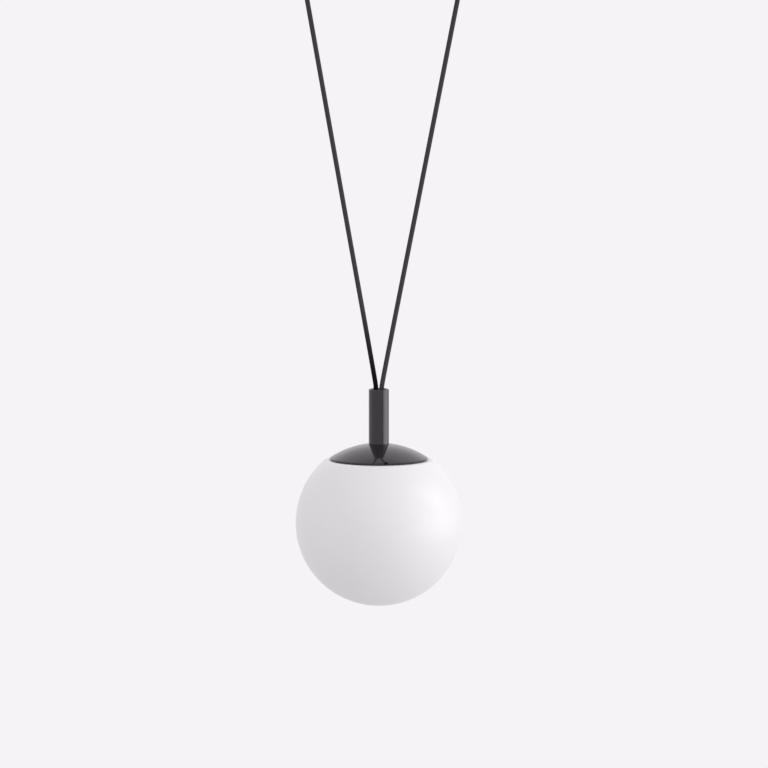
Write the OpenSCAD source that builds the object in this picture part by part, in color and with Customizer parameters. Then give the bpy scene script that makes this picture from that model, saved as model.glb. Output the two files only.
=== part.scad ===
// Pendant lamp: an opal glass globe under a lacquered dome cap and a straight stem, hung from
// two textile cords that spread in a V up to one ceiling canopy.
// Millimetres, +Z up. The origin is the middle of the bracket's ceiling face, the front is -Y,
// and both cords lie in the XZ plane.

/* [Globe] */
// Outer diameter of the glass ball
globe_d = 200; // [190:1:230]
// Wall of the blown glass
glass_t = 3; // [2:0.5:4]
// Diameter at which the ball would meet the flat shoulder under the cap
shoulder_d = 130; // [126:1:140]
// Rounding at the edge of the shoulder
shoulder_fillet = 6; // [5:0.5:8]
// Outer diameter of the straight neck that stands in the gallery
neck_d = 84; // [78:1:90]

/* [Cap] */
// Outer diameter of the dome cap at its lip
cap_d = 118; // [112:1:122]
// Height of the dome above its lip
dome_rise = 17.8; // [16:0.2:22]
// Height of the lip
lip_h = 2.2; // [1.5:0.1:4]
// Distance that the lip leans in at its lower edge
lip_lean = 0.3; // [0.2:0.1:0.8]
// Sheet thickness of the cap
cap_t = 1.5; // [1:0.1:2]

/* [Stem] */
// Outer diameter of the stem
stem_d = 24.4; // [22:0.2:30]
// Length of the stem from the cap to its mouth
stem_len = 66; // [60:1:90]
// Wall of the hollow part of the stem
stem_t = 2; // [1.5:0.1:3]
// Height of the solid foot that the nipple screws into
foot_h = 12; // [8:1:20]
// Bevel round the mouth
mouth_bevel = 0.5; // [0.2:0.1:0.8]
// Width of the flat seat on the dome outside the stem
seat_margin = 0.8; // [0.5:0.1:3]

/* [Suspension] */
// Distance from the ceiling down to the mouth of the stem
drop = 517; // [500:1:540]
// How far the head hangs off the middle, where one cord is let out a little further
head_offset = -4.5; // [-8:0.5:0]
// Diameter of a textile cord
cord_d = 5.7; // [4.5:0.1:6.2]
// Distance between the two cords' centres in the stem's mouth
cord_pitch = 7; // [6.4:0.1:7.6]

/* [Cord grip] */
// Length of the two-hole plug that grips the cords
grip_len = 16; // [10:1:22]
// Depth of the plug's top below the mouth
grip_depth = 2; // [1:0.5:6]
// Width of the slits that let the plug close on the cords
grip_slit = 0.8; // [0.5:0.1:1.5]
// Diameter of the screw that clamps the plug
grip_screw_d = 4; // [3:0.5:5]
// Depth to which that screw bites into the plug
grip_screw_bite = 3; // [2:0.5:4]

/* [Canopy] */
// Distance between the two cords where they leave the canopy
gland_spacing = 188; // [170:1:220]
// Width of the canopy, and the diameter of its round ends
canopy_w = 52; // [46:1:70]
// Height of the canopy
canopy_h = 25; // [24:1:30]
// Sheet thickness of the canopy
canopy_t = 1.5; // [1:0.1:2]
// Rounding of the canopy's lower edge
canopy_fillet = 5; // [3:0.5:8]

/* [Cord glands] */
// Thread diameter of a gland
gland_d = 16; // [14:0.5:20]
// Diameter of the flange under the canopy
gland_flange_d = 22; // [20:0.5:28]
// Thickness of the flange
gland_flange_h = 5; // [3:0.5:8]
// Length of thread above the canopy's bottom
gland_thread_h = 8; // [6:0.5:9]
// Depth of the bell mouth that lets the cord swing
bell_depth = 8; // [6:0.5:9]
// Half angle of the bell mouth
bell_angle = 25; // [22:1:30]
// Bevel round the flange
gland_bevel = 1.5; // [0.5:0.1:2.5]
// Width of the gland's nut across its flats
gland_nut_w = 22; // [20:0.5:28]
// Thickness of the gland's nut
gland_nut_h = 4; // [3:0.5:5]

/* [Ceiling bracket] */
// Width of the bracket
bracket_w = 22; // [20:1:30]
// Sheet thickness of the bracket
bracket_t = 2; // [1.5:0.1:3]
// Distance between the middles of the two ceiling slots
slot_spacing = 120; // [100:1:140]
// Width of a ceiling slot
slot_w = 5; // [4:0.1:6]
// Length of a ceiling slot from end to end
slot_len = 12; // [9:0.5:16]
// Width of the tabs that take the canopy screws
tab_w = 16; // [12:1:18]
// Length of those tabs down from the ceiling
tab_h = 17; // [15:1:19]
// Gap between a tab and the end of the canopy
tab_gap = 3; // [2:0.5:5]
// Diameter of the canopy screws
canopy_screw_d = 4; // [3:0.5:5]
// Diameter of their heads
canopy_head_d = 7.6; // [6:0.2:9]
// Height of their heads
canopy_head_h = 2.4; // [1.5:0.1:3.5]
// Depth of the canopy screws below the ceiling
canopy_screw_z = 10; // [8:0.5:12]
// Diameter of the hole that lets the supply cable in
entry_d = 11; // [8:1:14]
// Distance of that hole from the middle
entry_x = 36; // [30:1:45]

/* [Terminal block] */
// Length of the block along the canopy
block_l = 28; // [24:1:34]
// Width of the block
block_w = 18; // [16:1:22]
// Height of the block
block_h = 12; // [10:0.5:14]
// Diameter of the clamp screws
clamp_d = 4; // [3:0.5:5]
// Depth of the wells that the clamp screws sit in
clamp_depth = 5; // [3:0.5:7]
// Distance between the two poles' screws across the block
clamp_pitch = 9; // [8:0.5:10]
// Distance between the two rows of clamp screws along the block
clamp_row = 18; // [14:0.5:20]
// Diameter of the screws that hold the block
block_screw_d = 3; // [2.5:0.5:3.5]
// Diameter of their heads
block_head_d = 5.4; // [4.6:0.2:6.4]
// Height of their heads
block_head_h = 1.8; // [1.2:0.1:2.5]
// Distance between those screws across the block
block_screw_pitch = 10; // [9:0.5:12]

/* [Screw slots] */
// Width of the slots in the screws of the ceiling fitting
drive_w = 1; // [0.6:0.1:1.2]
// Depth of those slots
drive_depth = 0.8; // [0.5:0.1:1]

/* [Nipple] */
// Thread diameter of the nipple
nipple_d = 10; // [8:1:13]
// Bore of the nipple
nipple_bore = 7.2; // [6:0.1:7.4]
// Length of nipple inside the stem's foot
nipple_up = 10; // [6:1:11]
// Width of the cap nut across its flats
cap_nut_w = 17; // [16:0.5:20]
// Thickness of the cap nut
cap_nut_h = 3; // [2:0.5:4]
// Diameter of the spacer under the nut
spacer_d = 16; // [15:0.5:20]

/* [Gallery] */
// Sheet thickness of the gallery
gallery_t = 1.5; // [1:0.1:2]
// Distance that the gallery's skirt stops above the cap's lip
skirt_lift = 0.3; // [0.1:0.1:0.6]
// Diameter of the three screws that hold the neck
globe_screw_d = 2.5; // [2:0.1:2.8]
// Height of those screws above the cap's lower edge
globe_screw_lift = 2.3; // [2.2:0.1:2.6]
// Diameter of the bosses that carry those screws
globe_boss_d = 4.2; // [3.6:0.1:4.4]
// Length of those bosses outside the skirt
globe_boss_len = 5; // [3:0.5:6]
// Depth of a screw's outer end inside the cap's outer face
globe_screw_sink = 1; // [0.5:0.1:1.5]
// Turn of the front screw away from the front, to the right
globe_screw_turn = 8.5; // [0:0.5:30]
// Width of the slots in the cap through which the screws are turned
globe_slot_w = 5; // [4:0.1:6]
// Thickness of the soft ring over the glass neck
gasket_t = 1.2; // [0.8:0.1:1.4]

/* [Lampholder] */
// Diameter of the lampholder
holder_d = 40; // [38:0.5:44]
// Diameter of the threaded boss on its top
boss_d = 17; // [16:0.5:20]
// Height of that boss
boss_h = 6; // [5:0.5:8]
// Height of the slope below the boss
slope_h = 7; // [5:0.5:9]
// Height of the lampholder's upper half
holder_cap_h = 20; // [19:0.5:24]
// Height of the lampholder's lower half
holder_body_h = 30; // [28:0.5:34]
// Height of the lower half's wide collar
collar_h = 6; // [4:0.5:7]
// Diameter of the lower half below that collar
barrel_d = 37; // [36:0.5:38]
// Wall of the lampholder
holder_t = 2; // [1.5:0.1:2.2]
// Thickness of the ceramic insert
insert_h = 8; // [6:0.5:10]
// Diameter of the ceramic insert
insert_d = 32; // [31.5:0.1:32.5]
// Inner diameter of the screw shell
shell_d = 27.4; // [27.2:0.1:27.6]
// Sheet thickness of the screw shell
shell_t = 0.6; // [0.4:0.1:0.8]
// Length of the screw shell
shell_h = 19; // [15:0.5:20]
// Diameter of the centre contact
contact_d = 8; // [6:0.5:10]
// Height of the centre contact
contact_h = 1.5; // [1:0.1:2.5]
// Diameter of the two wire terminals
post_d = 5; // [4:0.5:6]
// Height of the two wire terminals
post_h = 5; // [4:0.5:6]
// Distance between the two wire terminals
post_pitch = 18; // [16:0.5:20]
// Diameter of the two wires from the cords to the terminals
lead_d = 2.2; // [1.8:0.1:2.4]
// Distance between the two wires in the nipple
lead_pitch = 3; // [2.6:0.1:3.2]
// Height over which a wire turns down on to its terminal
lead_bend = 1.5; // [1.2:0.1:1.8]

/* [Bulb] */
// Diameter of the bulb's screw cap
bulb_cap_d = 26.4; // [26:0.1:26.6]
// Length of the bulb's screw cap
bulb_cap_h = 23; // [20:0.5:26]
// Diameter of the bulb's end contact
bulb_tip_d = 10; // [8:0.5:12]
// Height of the bulb's end contact
bulb_tip_h = 1.5; // [1:0.1:2]
// Height of the collar under the screw cap
bulb_collar_h = 12; // [8:0.5:16]
// Diameter of the collar at its lower edge
bulb_collar_d = 34; // [32:0.5:38]
// Largest diameter of the bulb
bulb_d = 60; // [55:1:64]
// Length of the whole bulb
bulb_len = 105; // [100:1:110]
// Wall of the bulb's envelope
bulb_t = 1; // [0.6:0.1:1.5]

/* [Fits] */
// Gap between pieces that move past each other
run_gap = 0.3; // [0.3:0.05:0.5]
// Radial gap of a push fit or of a screw in its thread
push_gap = 0.1; // [0.05:0.01:0.15]
// Radial gap of a screw in a plain hole
clear_gap = 0.2; // [0.1:0.05:0.4]
// Radial gap of the glass neck in the gallery
neck_gap = 0.5; // [0.4:0.1:0.8]
// Radial gap of a cord in its bores
cord_gap = 0.3; // [0.3:0.05:0.5]

/* [Hidden] */
$fn = 96;
cord_sides = 12;
lead_sides = 8;
sweep_ratio = 5;
bulb_step = 4;
bulb_tangent = 22;
cut = 1;

// Colours
lacquer = "#3a393c";
textile = "#38373a";
opal = "#f2f1f0";
zinc = "#b9bcc0";
yellow_metal = "#c9a352";
black_plastic = "#232325";
white_plastic = "#e9e8e4";
ceramic = "#e4e0d6";
soft_clear = "#d8d8d4";
brown_wire = "#6b4a33";
blue_wire = "#3b6ea8";

// Radii
globe_r = globe_d / 2;
neck_r = neck_d / 2;
cap_r = cap_d / 2;
stem_r = stem_d / 2;
stem_in = stem_r - stem_t;
cord_r = cord_d / 2;
nipple_r = nipple_d / 2;
gallery_in = neck_r + neck_gap;
gallery_r = gallery_in + gallery_t;
holder_r = holder_d / 2;
insert_r = insert_d / 2;
shell_r = shell_d / 2;
barrel_in = shell_r + shell_t + run_gap;

// Levels of the ceiling fitting, from the ceiling down
canopy_floor = canopy_t - canopy_h;
gland_x = gland_spacing / 2;
canopy_end = gland_x + canopy_w / 2;
mouth_z = -canopy_h - gland_flange_h;
swing_z = mouth_z + bell_depth;
throat_r = cord_r + cord_gap;
tab_x = canopy_end - canopy_t - tab_gap;
block_bottom = -bracket_t - block_h;

// Levels of the head, from the seat of the stem on the cap
seat_z = -drop - stem_len;
seat_r = stem_r + seat_margin;
dome_r = (cap_r ^ 2 + dome_rise ^ 2) / (2 * dome_rise);
seat_sag = dome_r - sqrt(dome_r ^ 2 - seat_r ^ 2);
dome_c = seat_sag - dome_r;
lip_top = seat_sag - dome_rise;
lip_bottom = lip_top - lip_h;
function dome_at(r, inset) = dome_c + sqrt((dome_r - inset) ^ 2 - r ^ 2);
function dome_reach(z) = sqrt(dome_r ^ 2 - (z - dome_c) ^ 2);
plate_top = dome_at(gallery_r, cap_t) - run_gap;
plate_bottom = plate_top - gallery_t;
neck_top = plate_bottom - gasket_t - run_gap;
shoulder_z = lip_bottom - run_gap;
globe_c = shoulder_z - sqrt(globe_r ^ 2 - (shoulder_d / 2) ^ 2);
skirt_bottom = lip_bottom + skirt_lift;
globe_screw_z = lip_bottom + globe_screw_lift;
grip_top = stem_len - grip_depth;
grip_screw_z = grip_top - grip_len / 2;

// Centre of the shoulder's rounding and the levels round it, from the centre of the ball
shoulder_h = shoulder_z - globe_c;
fillet_z = shoulder_h - shoulder_fillet;
fillet_x = sqrt((globe_r - shoulder_fillet) ^ 2 - fillet_z ^ 2);
fillet_start = asin(fillet_z / (globe_r - shoulder_fillet));
fillet_steps = 7;
ball_top = (globe_r - glass_t) * sin(fillet_start);

// Levels of the lampholder and the bulb, from the gallery's underside
cap_half = plate_bottom - holder_cap_h;
slope_top = plate_bottom - boss_h;
slope_bottom = slope_top - slope_h;
nipple_bottom = slope_top - holder_t;
insert_top = cap_half - run_gap;
insert_bottom = cap_half - insert_h;
post_top = insert_top + post_h;
contact_bottom = insert_bottom - contact_h;
bulb_cap_top = contact_bottom - bulb_tip_h;
bulb_collar_top = bulb_cap_top - bulb_cap_h;
bulb_neck = bulb_collar_top - bulb_collar_h;
bulb_c = contact_bottom - bulb_len + bulb_d / 2;

// Routes of the cords, from the swing axis in the gland to the grip in the stem
route_left = [
    [-94, 0, -22], [-94, 0, -26], [-93.5, 0, -30], [-90, 0, -50], [-50, 0, -276],
    [-8.6, 0, -510], [-8, 0, -515], [-8, 0, -518], [-8, 0, -537]
];
route_right = [
    [94, 0, -22], [94, 0, -26], [93.4, 0, -30], [89.5, 0, -50], [45.4, 0, -276],
    [-0.3, 0, -510], [-1, 0, -515], [-1, 0, -518], [-1, 0, -537]
];
// Route of the right cord's end inside the canopy, from the swing axis to the terminal block
route_inner = [
    [94, 0, -22], [94, 0, -15], [92.5, 0, -11], [89, 0, -8.6], [84, 0, -8], [14, 0, -8]
];
// Route of the right wire in the head, from the end of its cord to its terminal
cord_end = route_right[len(route_right) - 1][2] - seat_z;
route_lead = [
    [cord_pitch / 2, 0, cord_end - run_gap], [cord_pitch / 2, 0, cord_end - foot_h],
    [lead_pitch / 2, 0, foot_h + lead_bend], [lead_pitch / 2, 0, nipple_bottom],
    [post_pitch / 4, 0, nipple_bottom - 2 * lead_bend], [post_pitch / 2, 0, post_top + lead_bend],
    [post_pitch / 2, 0, post_top]
];

// Helpers

// Places the head's own frame, with its origin at the seat of the stem
module at_head() {
    translate([head_offset, 0, seat_z]) children();
}

// Tube with its lower end at z = bottom
module sleeve(outer_r, inner_r, bottom, top) {
    translate([0, 0, bottom])
        difference() {
            cylinder(h = top - bottom, r = outer_r);
            translate([0, 0, -cut]) cylinder(h = top - bottom + 2 * cut, r = inner_r);
        }
}

// Hexagon nut with its lower face at z = bottom
module nut(width, bore_r, bottom, height) {
    translate([0, 0, bottom])
        difference() {
            cylinder(h = height, d = width / cos(30), $fn = 6);
            translate([0, 0, -cut]) cylinder(h = height + 2 * cut, r = bore_r);
        }
}

// Grub screw along +X, with a hexagon socket in its outer end
module grub(d, inner, outer) {
    socket = d / 2;
    rotate([0, 90, 0])
        difference() {
            translate([0, 0, inner]) cylinder(h = outer - inner, d = d);
            translate([0, 0, outer - socket]) cylinder(h = socket + cut, d = socket / cos(30), $fn = 6);
        }
}

// Slot along X with round ends, cut upwards from z = 0
module slot(length, width, depth) {
    run = (length - width) / 2;
    for (s = [-1, 1])
        translate([s * run, 0, 0]) cylinder(h = depth, d = width);
    translate([-run, -width / 2, 0]) cube([2 * run, width, depth]);
}

// Slot across a screw of diameter d, cut upwards from its face at z = 0
module drive_slot(d) {
    translate([-d, -drive_w / 2, -cut]) cube([2 * d, drive_w, drive_depth + cut]);
}

// The three directions of the globe screws, the first one near the front
module round_the_neck() {
    for (k = [0 : 2])
        rotate([0, 0, -90 + globe_screw_turn + 120 * k]) children();
}

// A path with points added so that no step is longer than step
function finer(path, step) = [
    for (i = [0 : len(path) - 2])
        let (n = ceil(norm(path[i + 1] - path[i]) / step))
        for (k = [0 : n - 1]) path[i] + (path[i + 1] - path[i]) * k / n,
    path[len(path) - 1]
];
function unit(v) = v / norm(v);
function tangent(path, i) = unit(path[min(i + 1, len(path) - 1)] - path[max(i - 1, 0)]);
function ring(p, t, r, sides) = [
    for (k = [0 : sides - 1])
        let (a = 360 * k / sides)
        p + r * (cos(a) * [0, 1, 0] + sin(a) * cross(t, [0, 1, 0]))
];

// Round cord swept along a path in the XZ plane
module tube(path, r, sides) {
    line = finer(path, sweep_ratio * r);
    n = len(line);
    points = [for (i = [0 : n - 1]) each ring(line[i], tangent(line, i), r, sides)];
    walls = [
        for (i = [0 : n - 2], k = [0 : sides - 1])
            let (a = i * sides + k, b = i * sides + (k + 1) % sides)
            each [[a, a + sides, b + sides], [a, b + sides, b]]
    ];
    first = [for (k = [1 : sides - 2]) [0, k, k + 1]];
    last = [for (k = [1 : sides - 2]) [for (j = [0, k + 1, k]) (n - 1) * sides + j]];
    polyhedron(points, concat(walls, first, last));
}

// Ceiling fitting

module ceiling_bracket() {
    color(zinc)
        difference() {
            union() {
                translate([-tab_x, -bracket_w / 2, -bracket_t]) cube([2 * tab_x, bracket_w, bracket_t]);
                for (s = [-1, 1])
                    translate([s * (tab_x - bracket_t / 2) - bracket_t / 2, -tab_w / 2, -tab_h])
                        cube([bracket_t, tab_w, tab_h]);
            }
            for (s = [-1, 1])
                translate([s * slot_spacing / 2, 0, -bracket_t - cut])
                    slot(slot_len, slot_w, bracket_t + 2 * cut);
            translate([entry_x, 0, -bracket_t - cut]) cylinder(h = bracket_t + 2 * cut, d = entry_d);
            for (s = [-1, 1])
                translate([0, s * block_screw_pitch / 2, -bracket_t - cut])
                    cylinder(h = bracket_t + 2 * cut, r = block_screw_d / 2 + push_gap);
            translate([-canopy_end, 0, -canopy_screw_z])
                rotate([0, 90, 0]) cylinder(h = 2 * canopy_end, r = canopy_screw_d / 2 + push_gap);
        }
}

// Half section of the canopy with a round lower corner
module canopy_half(half_w, height, fillet) {
    translate([0, -height]) square([half_w - fillet, height]);
    translate([0, fillet - height]) square([half_w, height - fillet]);
    translate([half_w - fillet, fillet - height]) circle(r = fillet);
}

// Solid with straight sides and round ends from that half section
module obround(half_w, height, fillet) {
    for (s = [-1, 1])
        translate([s * gland_x, 0, 0])
            rotate_extrude()
                intersection() {
                    canopy_half(half_w, height, fillet);
                    translate([0, -height]) square([half_w, height]);
                }
    translate([-gland_x, 0, 0])
        rotate([90, 0, 90])
            linear_extrude(height = gland_spacing)
                for (m = [0, 1])
                    mirror([m, 0]) canopy_half(half_w, height, fillet);
}

module canopy() {
    color(lacquer)
        difference() {
            obround(canopy_w / 2, canopy_h, canopy_fillet);
            translate([0, 0, cut])
                obround(canopy_w / 2 - canopy_t, canopy_h - canopy_t + cut, canopy_fillet - canopy_t);
            for (s = [-1, 1])
                translate([s * gland_x, 0, -canopy_h - cut])
                    cylinder(h = canopy_t + 2 * cut, r = gland_d / 2 + push_gap);
            translate([-canopy_end - cut, 0, -canopy_screw_z])
                rotate([0, 90, 0])
                    cylinder(h = 2 * (canopy_end + cut), r = canopy_screw_d / 2 + clear_gap);
        }
}

module canopy_screws() {
    tip = tab_x - 2 * bracket_t;
    color(lacquer)
        for (m = [0, 1])
            mirror([m, 0, 0])
                translate([0, 0, -canopy_screw_z])
                    rotate([0, 90, 0])
                        difference() {
                            union() {
                                translate([0, 0, tip]) cylinder(h = canopy_end - tip, d = canopy_screw_d);
                                translate([0, 0, canopy_end]) cylinder(h = canopy_head_h, d = canopy_head_d);
                            }
                            translate([0, 0, canopy_end + canopy_head_h])
                                mirror([0, 0, 1]) drive_slot(canopy_head_d);
                        }
}

module cord_gland(x) {
    bell_r = throat_r + bell_depth * tan(bell_angle);
    flange_r = gland_flange_d / 2;
    thread_top = canopy_floor + gland_thread_h;
    color(black_plastic)
        translate([x, 0, 0])
            rotate_extrude()
                polygon([
                    [throat_r, thread_top], [gland_d / 2, thread_top], [gland_d / 2, -canopy_h],
                    [flange_r, -canopy_h], [flange_r, mouth_z + gland_bevel], [flange_r - gland_bevel, mouth_z],
                    [bell_r, mouth_z], [throat_r, swing_z]
                ]);
}

module cord_gland_left() {
    cord_gland(-gland_x);
}

module cord_gland_right() {
    cord_gland(gland_x);
}

module gland_nuts() {
    color(black_plastic)
        for (s = [-1, 1])
            translate([s * gland_x, 0, 0])
                nut(gland_nut_w, gland_d / 2 + push_gap, canopy_floor, gland_nut_h);
}

// The four places of the clamp screws
module at_clamps() {
    for (x = [-1, 1], y = [-1, 1])
        translate([x * clamp_row / 2, y * clamp_pitch / 2, block_bottom]) children();
}

module terminal_block() {
    color(white_plastic)
        difference() {
            translate([-block_l / 2, -block_w / 2, block_bottom]) cube([block_l, block_w, block_h]);
            at_clamps() translate([0, 0, -cut]) cylinder(h = clamp_depth + cut, r = clamp_d / 2 + push_gap);
            for (s = [-1, 1])
                translate([0, s * block_screw_pitch / 2, block_bottom - cut])
                    cylinder(h = block_h + 2 * cut, r = block_screw_d / 2 + push_gap);
        }
}

module terminal_screws() {
    color(yellow_metal)
        at_clamps()
            translate([0, 0, clamp_depth / 2])
                difference() {
                    cylinder(h = clamp_depth / 2, d = clamp_d);
                    drive_slot(clamp_d);
                }
}

module block_screws() {
    color(zinc)
        for (s = [-1, 1])
            translate([0, s * block_screw_pitch / 2, block_bottom])
                difference() {
                    union() {
                        cylinder(h = block_h + bracket_t - clear_gap, d = block_screw_d);
                        translate([0, 0, -block_head_h]) cylinder(h = block_head_h, d = block_head_d);
                    }
                    translate([0, 0, -block_head_h]) drive_slot(block_head_d);
                }
}

module inner_cord_right() {
    color(textile) tube(route_inner, cord_r, cord_sides);
}

module inner_cord_left() {
    mirror([1, 0, 0]) inner_cord_right();
}

// Suspension

module cord_left() {
    color(textile) tube(route_left, cord_r, cord_sides);
}

module cord_right() {
    color(textile) tube(route_right, cord_r, cord_sides);
}

// Head

module stem() {
    thread_r = nipple_r + push_gap;
    color(lacquer)
        at_head()
            difference() {
                rotate_extrude()
                    polygon([
                        [thread_r, 0], [stem_r, 0], [stem_r, stem_len - mouth_bevel],
                        [stem_r - mouth_bevel, stem_len], [stem_in, stem_len], [stem_in, foot_h],
                        [thread_r, foot_h]
                    ]);
                translate([0, 0, grip_screw_z])
                    rotate([-90, 0, 0]) cylinder(h = stem_d, r = grip_screw_d / 2 + push_gap);
            }
}

module cord_grip() {
    plug_r = stem_in - push_gap;
    color(black_plastic)
        at_head()
            translate([0, 0, grip_top - grip_len])
                difference() {
                    cylinder(h = grip_len, r = plug_r);
                    for (m = [0, 1])
                        mirror([m, 0, 0])
                            translate([cord_pitch / 2, 0, -cut]) {
                                cylinder(h = grip_len + 2 * cut, r = cord_r + cord_gap);
                                translate([0, -grip_slit / 2, 0])
                                    cube([stem_in, grip_slit, grip_len + 2 * cut]);
                            }
                    translate([0, plug_r - grip_screw_bite, grip_len / 2])
                        rotate([-90, 0, 0]) cylinder(h = stem_d, r = grip_screw_d / 2 + push_gap);
                }
}

module grip_screw() {
    color(zinc)
        at_head()
            translate([0, 0, grip_screw_z])
                rotate([0, 0, 90])
                    grub(grip_screw_d, stem_in - push_gap - grip_screw_bite, stem_r - clear_gap);
}

module nipple() {
    color(zinc) at_head() sleeve(nipple_r, nipple_bore / 2, nipple_bottom, nipple_up);
}

// Half section under a dome of radius r about the dome's centre, with a side that leans in below
module dome_half(r, side, bottom, top) {
    lean = lip_lean * (lip_top - bottom) / lip_h;
    intersection() {
        translate([0, dome_c]) circle(r = r);
        polygon([[0, bottom], [side - lean, bottom], [side, lip_top], [side, top], [0, top]]);
    }
}

module cap() {
    color(lacquer)
        at_head()
            difference() {
                rotate_extrude()
                    difference() {
                        dome_half(dome_r, cap_r, lip_bottom, 0);
                        dome_half(dome_r - cap_t, cap_r - cap_t, lip_bottom - cut, -cap_t);
                        translate([0, -cap_t - cut]) square([nipple_r + push_gap, cap_t + 2 * cut]);
                    }
                round_the_neck()
                    translate([neck_r, 0, globe_screw_z])
                        rotate([90, 0, 90]) slot(globe_slot_w, globe_screw_d + 2 * clear_gap, cap_r);
            }
}

module cap_nut() {
    color(zinc) at_head() nut(cap_nut_w, nipple_r + push_gap, -cap_t - cap_nut_h, cap_nut_h);
}

module spacer() {
    color(zinc) at_head() sleeve(spacer_d / 2, nipple_r + push_gap, plate_top, -cap_t - cap_nut_h);
}

module gallery() {
    bore_r = nipple_r + push_gap;
    color(zinc)
        at_head()
            difference() {
                union() {
                    rotate_extrude()
                        polygon([
                            [bore_r, plate_bottom], [bore_r, plate_top], [gallery_r, plate_top],
                            [gallery_r, skirt_bottom], [gallery_in, skirt_bottom], [gallery_in, plate_bottom]
                        ]);
                    round_the_neck()
                        translate([gallery_in + gallery_t / 2, 0, globe_screw_z])
                            rotate([0, 90, 0])
                                cylinder(h = gallery_t / 2 + globe_boss_len, d = globe_boss_d);
                }
                round_the_neck()
                    translate([neck_r, 0, globe_screw_z])
                        rotate([0, 90, 0]) cylinder(h = cap_r, r = globe_screw_d / 2 + push_gap);
            }
}

module gallery_screws() {
    outer = min(cap_r, dome_reach(globe_screw_z)) - globe_screw_sink;
    color(black_plastic)
        at_head()
            round_the_neck()
                translate([0, 0, globe_screw_z]) grub(globe_screw_d, neck_r + run_gap, outer);
}

module gasket() {
    color(soft_clear) at_head() sleeve(neck_r, neck_r - glass_t, plate_bottom - gasket_t, plate_bottom);
}

module holder_cap() {
    thread_r = nipple_r + push_gap;
    slope_in = slope_top - holder_t;
    color(black_plastic)
        at_head()
            rotate_extrude()
                polygon([
                    [thread_r, plate_bottom], [boss_d / 2, plate_bottom], [boss_d / 2, slope_top],
                    [holder_r, slope_bottom], [holder_r, cap_half], [holder_r - holder_t, cap_half],
                    [holder_r - holder_t, slope_bottom], [boss_d / 2, slope_in], [thread_r, slope_in]
                ]);
}

module holder_body() {
    foot = cap_half - holder_body_h;
    seat_in = insert_r + push_gap;
    color(black_plastic)
        at_head()
            rotate_extrude()
                polygon([
                    [seat_in, cap_half], [holder_r, cap_half], [holder_r, cap_half - collar_h],
                    [barrel_d / 2, cap_half - collar_h], [barrel_d / 2, foot], [barrel_in, foot],
                    [barrel_in, insert_bottom], [seat_in, insert_bottom]
                ]);
}

module holder_insert() {
    color(ceramic)
        at_head()
            translate([0, 0, insert_bottom]) cylinder(h = insert_top - insert_bottom, r = insert_r);
}

module holder_terminals() {
    color(yellow_metal)
        at_head()
            for (s = [-1, 1])
                translate([s * post_pitch / 2, 0, insert_top]) cylinder(h = post_h, d = post_d);
}

module holder_shell() {
    color(yellow_metal) at_head() sleeve(shell_r + shell_t, shell_r, insert_bottom - shell_h, insert_bottom);
}

module holder_contact() {
    color(yellow_metal)
        at_head()
            translate([0, 0, contact_bottom]) cylinder(h = contact_h, d = contact_d);
}

module lead_right() {
    color(blue_wire) at_head() tube(route_lead, lead_d / 2, lead_sides);
}

module lead_left() {
    color(brown_wire) at_head() mirror([1, 0, 0]) tube(route_lead, lead_d / 2, lead_sides);
}

module bulb_cap() {
    color(zinc)
        at_head() {
            translate([0, 0, bulb_collar_top]) cylinder(h = bulb_cap_h, d = bulb_cap_d);
            translate([0, 0, bulb_cap_top]) cylinder(h = bulb_tip_h, d = bulb_tip_d);
        }
}

module bulb_collar() {
    color(white_plastic)
        at_head()
            translate([0, 0, bulb_neck])
                cylinder(h = bulb_collar_h, d1 = bulb_collar_d, d2 = bulb_cap_d);
}

// Half outline of the bulb's envelope: an arc up from the lowest point, then a straight neck
module envelope(inset, top) {
    ball_r = bulb_d / 2 - inset;
    neck_in = bulb_collar_d / 2 - inset;
    arc = [for (a = [-90 : bulb_step : bulb_tangent]) [ball_r * cos(a), bulb_c + ball_r * sin(a)]];
    polygon(concat([[0, top]], arc, [[neck_in, bulb_neck], [neck_in, top]]));
}

module bulb_glass() {
    color(opal)
        at_head()
            rotate_extrude()
                difference() {
                    envelope(0, bulb_neck);
                    envelope(bulb_t, bulb_neck + cut);
                }
}

// Globe

// Arc of the shoulder's rounding about its own centre, from the ball up to the flat
function shoulder_arc(r) = [
    for (k = [0 : fillet_steps])
        let (a = fillet_start + (90 - fillet_start) * k / fillet_steps)
        [fillet_x + r * cos(a), fillet_z + r * sin(a)]
];
function reversed(list) = [for (i = [len(list) - 1 : -1 : 0]) list[i]];

// Blown ball up to the level where its inner face turns into the shoulder
module ball() {
    difference() {
        sphere(r = globe_r);
        sphere(r = globe_r - glass_t);
        translate([-globe_d, -globe_d, ball_top]) cube([2 * globe_d, 2 * globe_d, globe_d]);
    }
}

// Rounded shoulder and straight neck
module shoulder() {
    neck_h = neck_top - globe_c;
    neck_in = neck_r - glass_t;
    rotate_extrude()
        polygon(concat(
            [[sqrt(globe_r ^ 2 - ball_top ^ 2), ball_top]],
            shoulder_arc(shoulder_fillet),
            [[neck_r, shoulder_h], [neck_r, neck_h], [neck_in, neck_h], [neck_in, shoulder_h - glass_t]],
            reversed(shoulder_arc(shoulder_fillet - glass_t))
        ));
}

module globe() {
    color(opal)
        at_head()
            translate([0, 0, globe_c]) {
                ball();
                shoulder();
            }
}

ceiling_bracket();
canopy();
canopy_screws();
cord_gland_left();
cord_gland_right();
gland_nuts();
terminal_block();
terminal_screws();
block_screws();
inner_cord_left();
inner_cord_right();
cord_left();
cord_right();
stem();
cord_grip();
grip_screw();
nipple();
cap();
cap_nut();
spacer();
gallery();
gallery_screws();
gasket();
holder_cap();
holder_body();
holder_insert();
holder_terminals();
holder_shell();
holder_contact();
lead_left();
lead_right();
bulb_cap();
bulb_collar();
bulb_glass();
globe();
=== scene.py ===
import math

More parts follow.
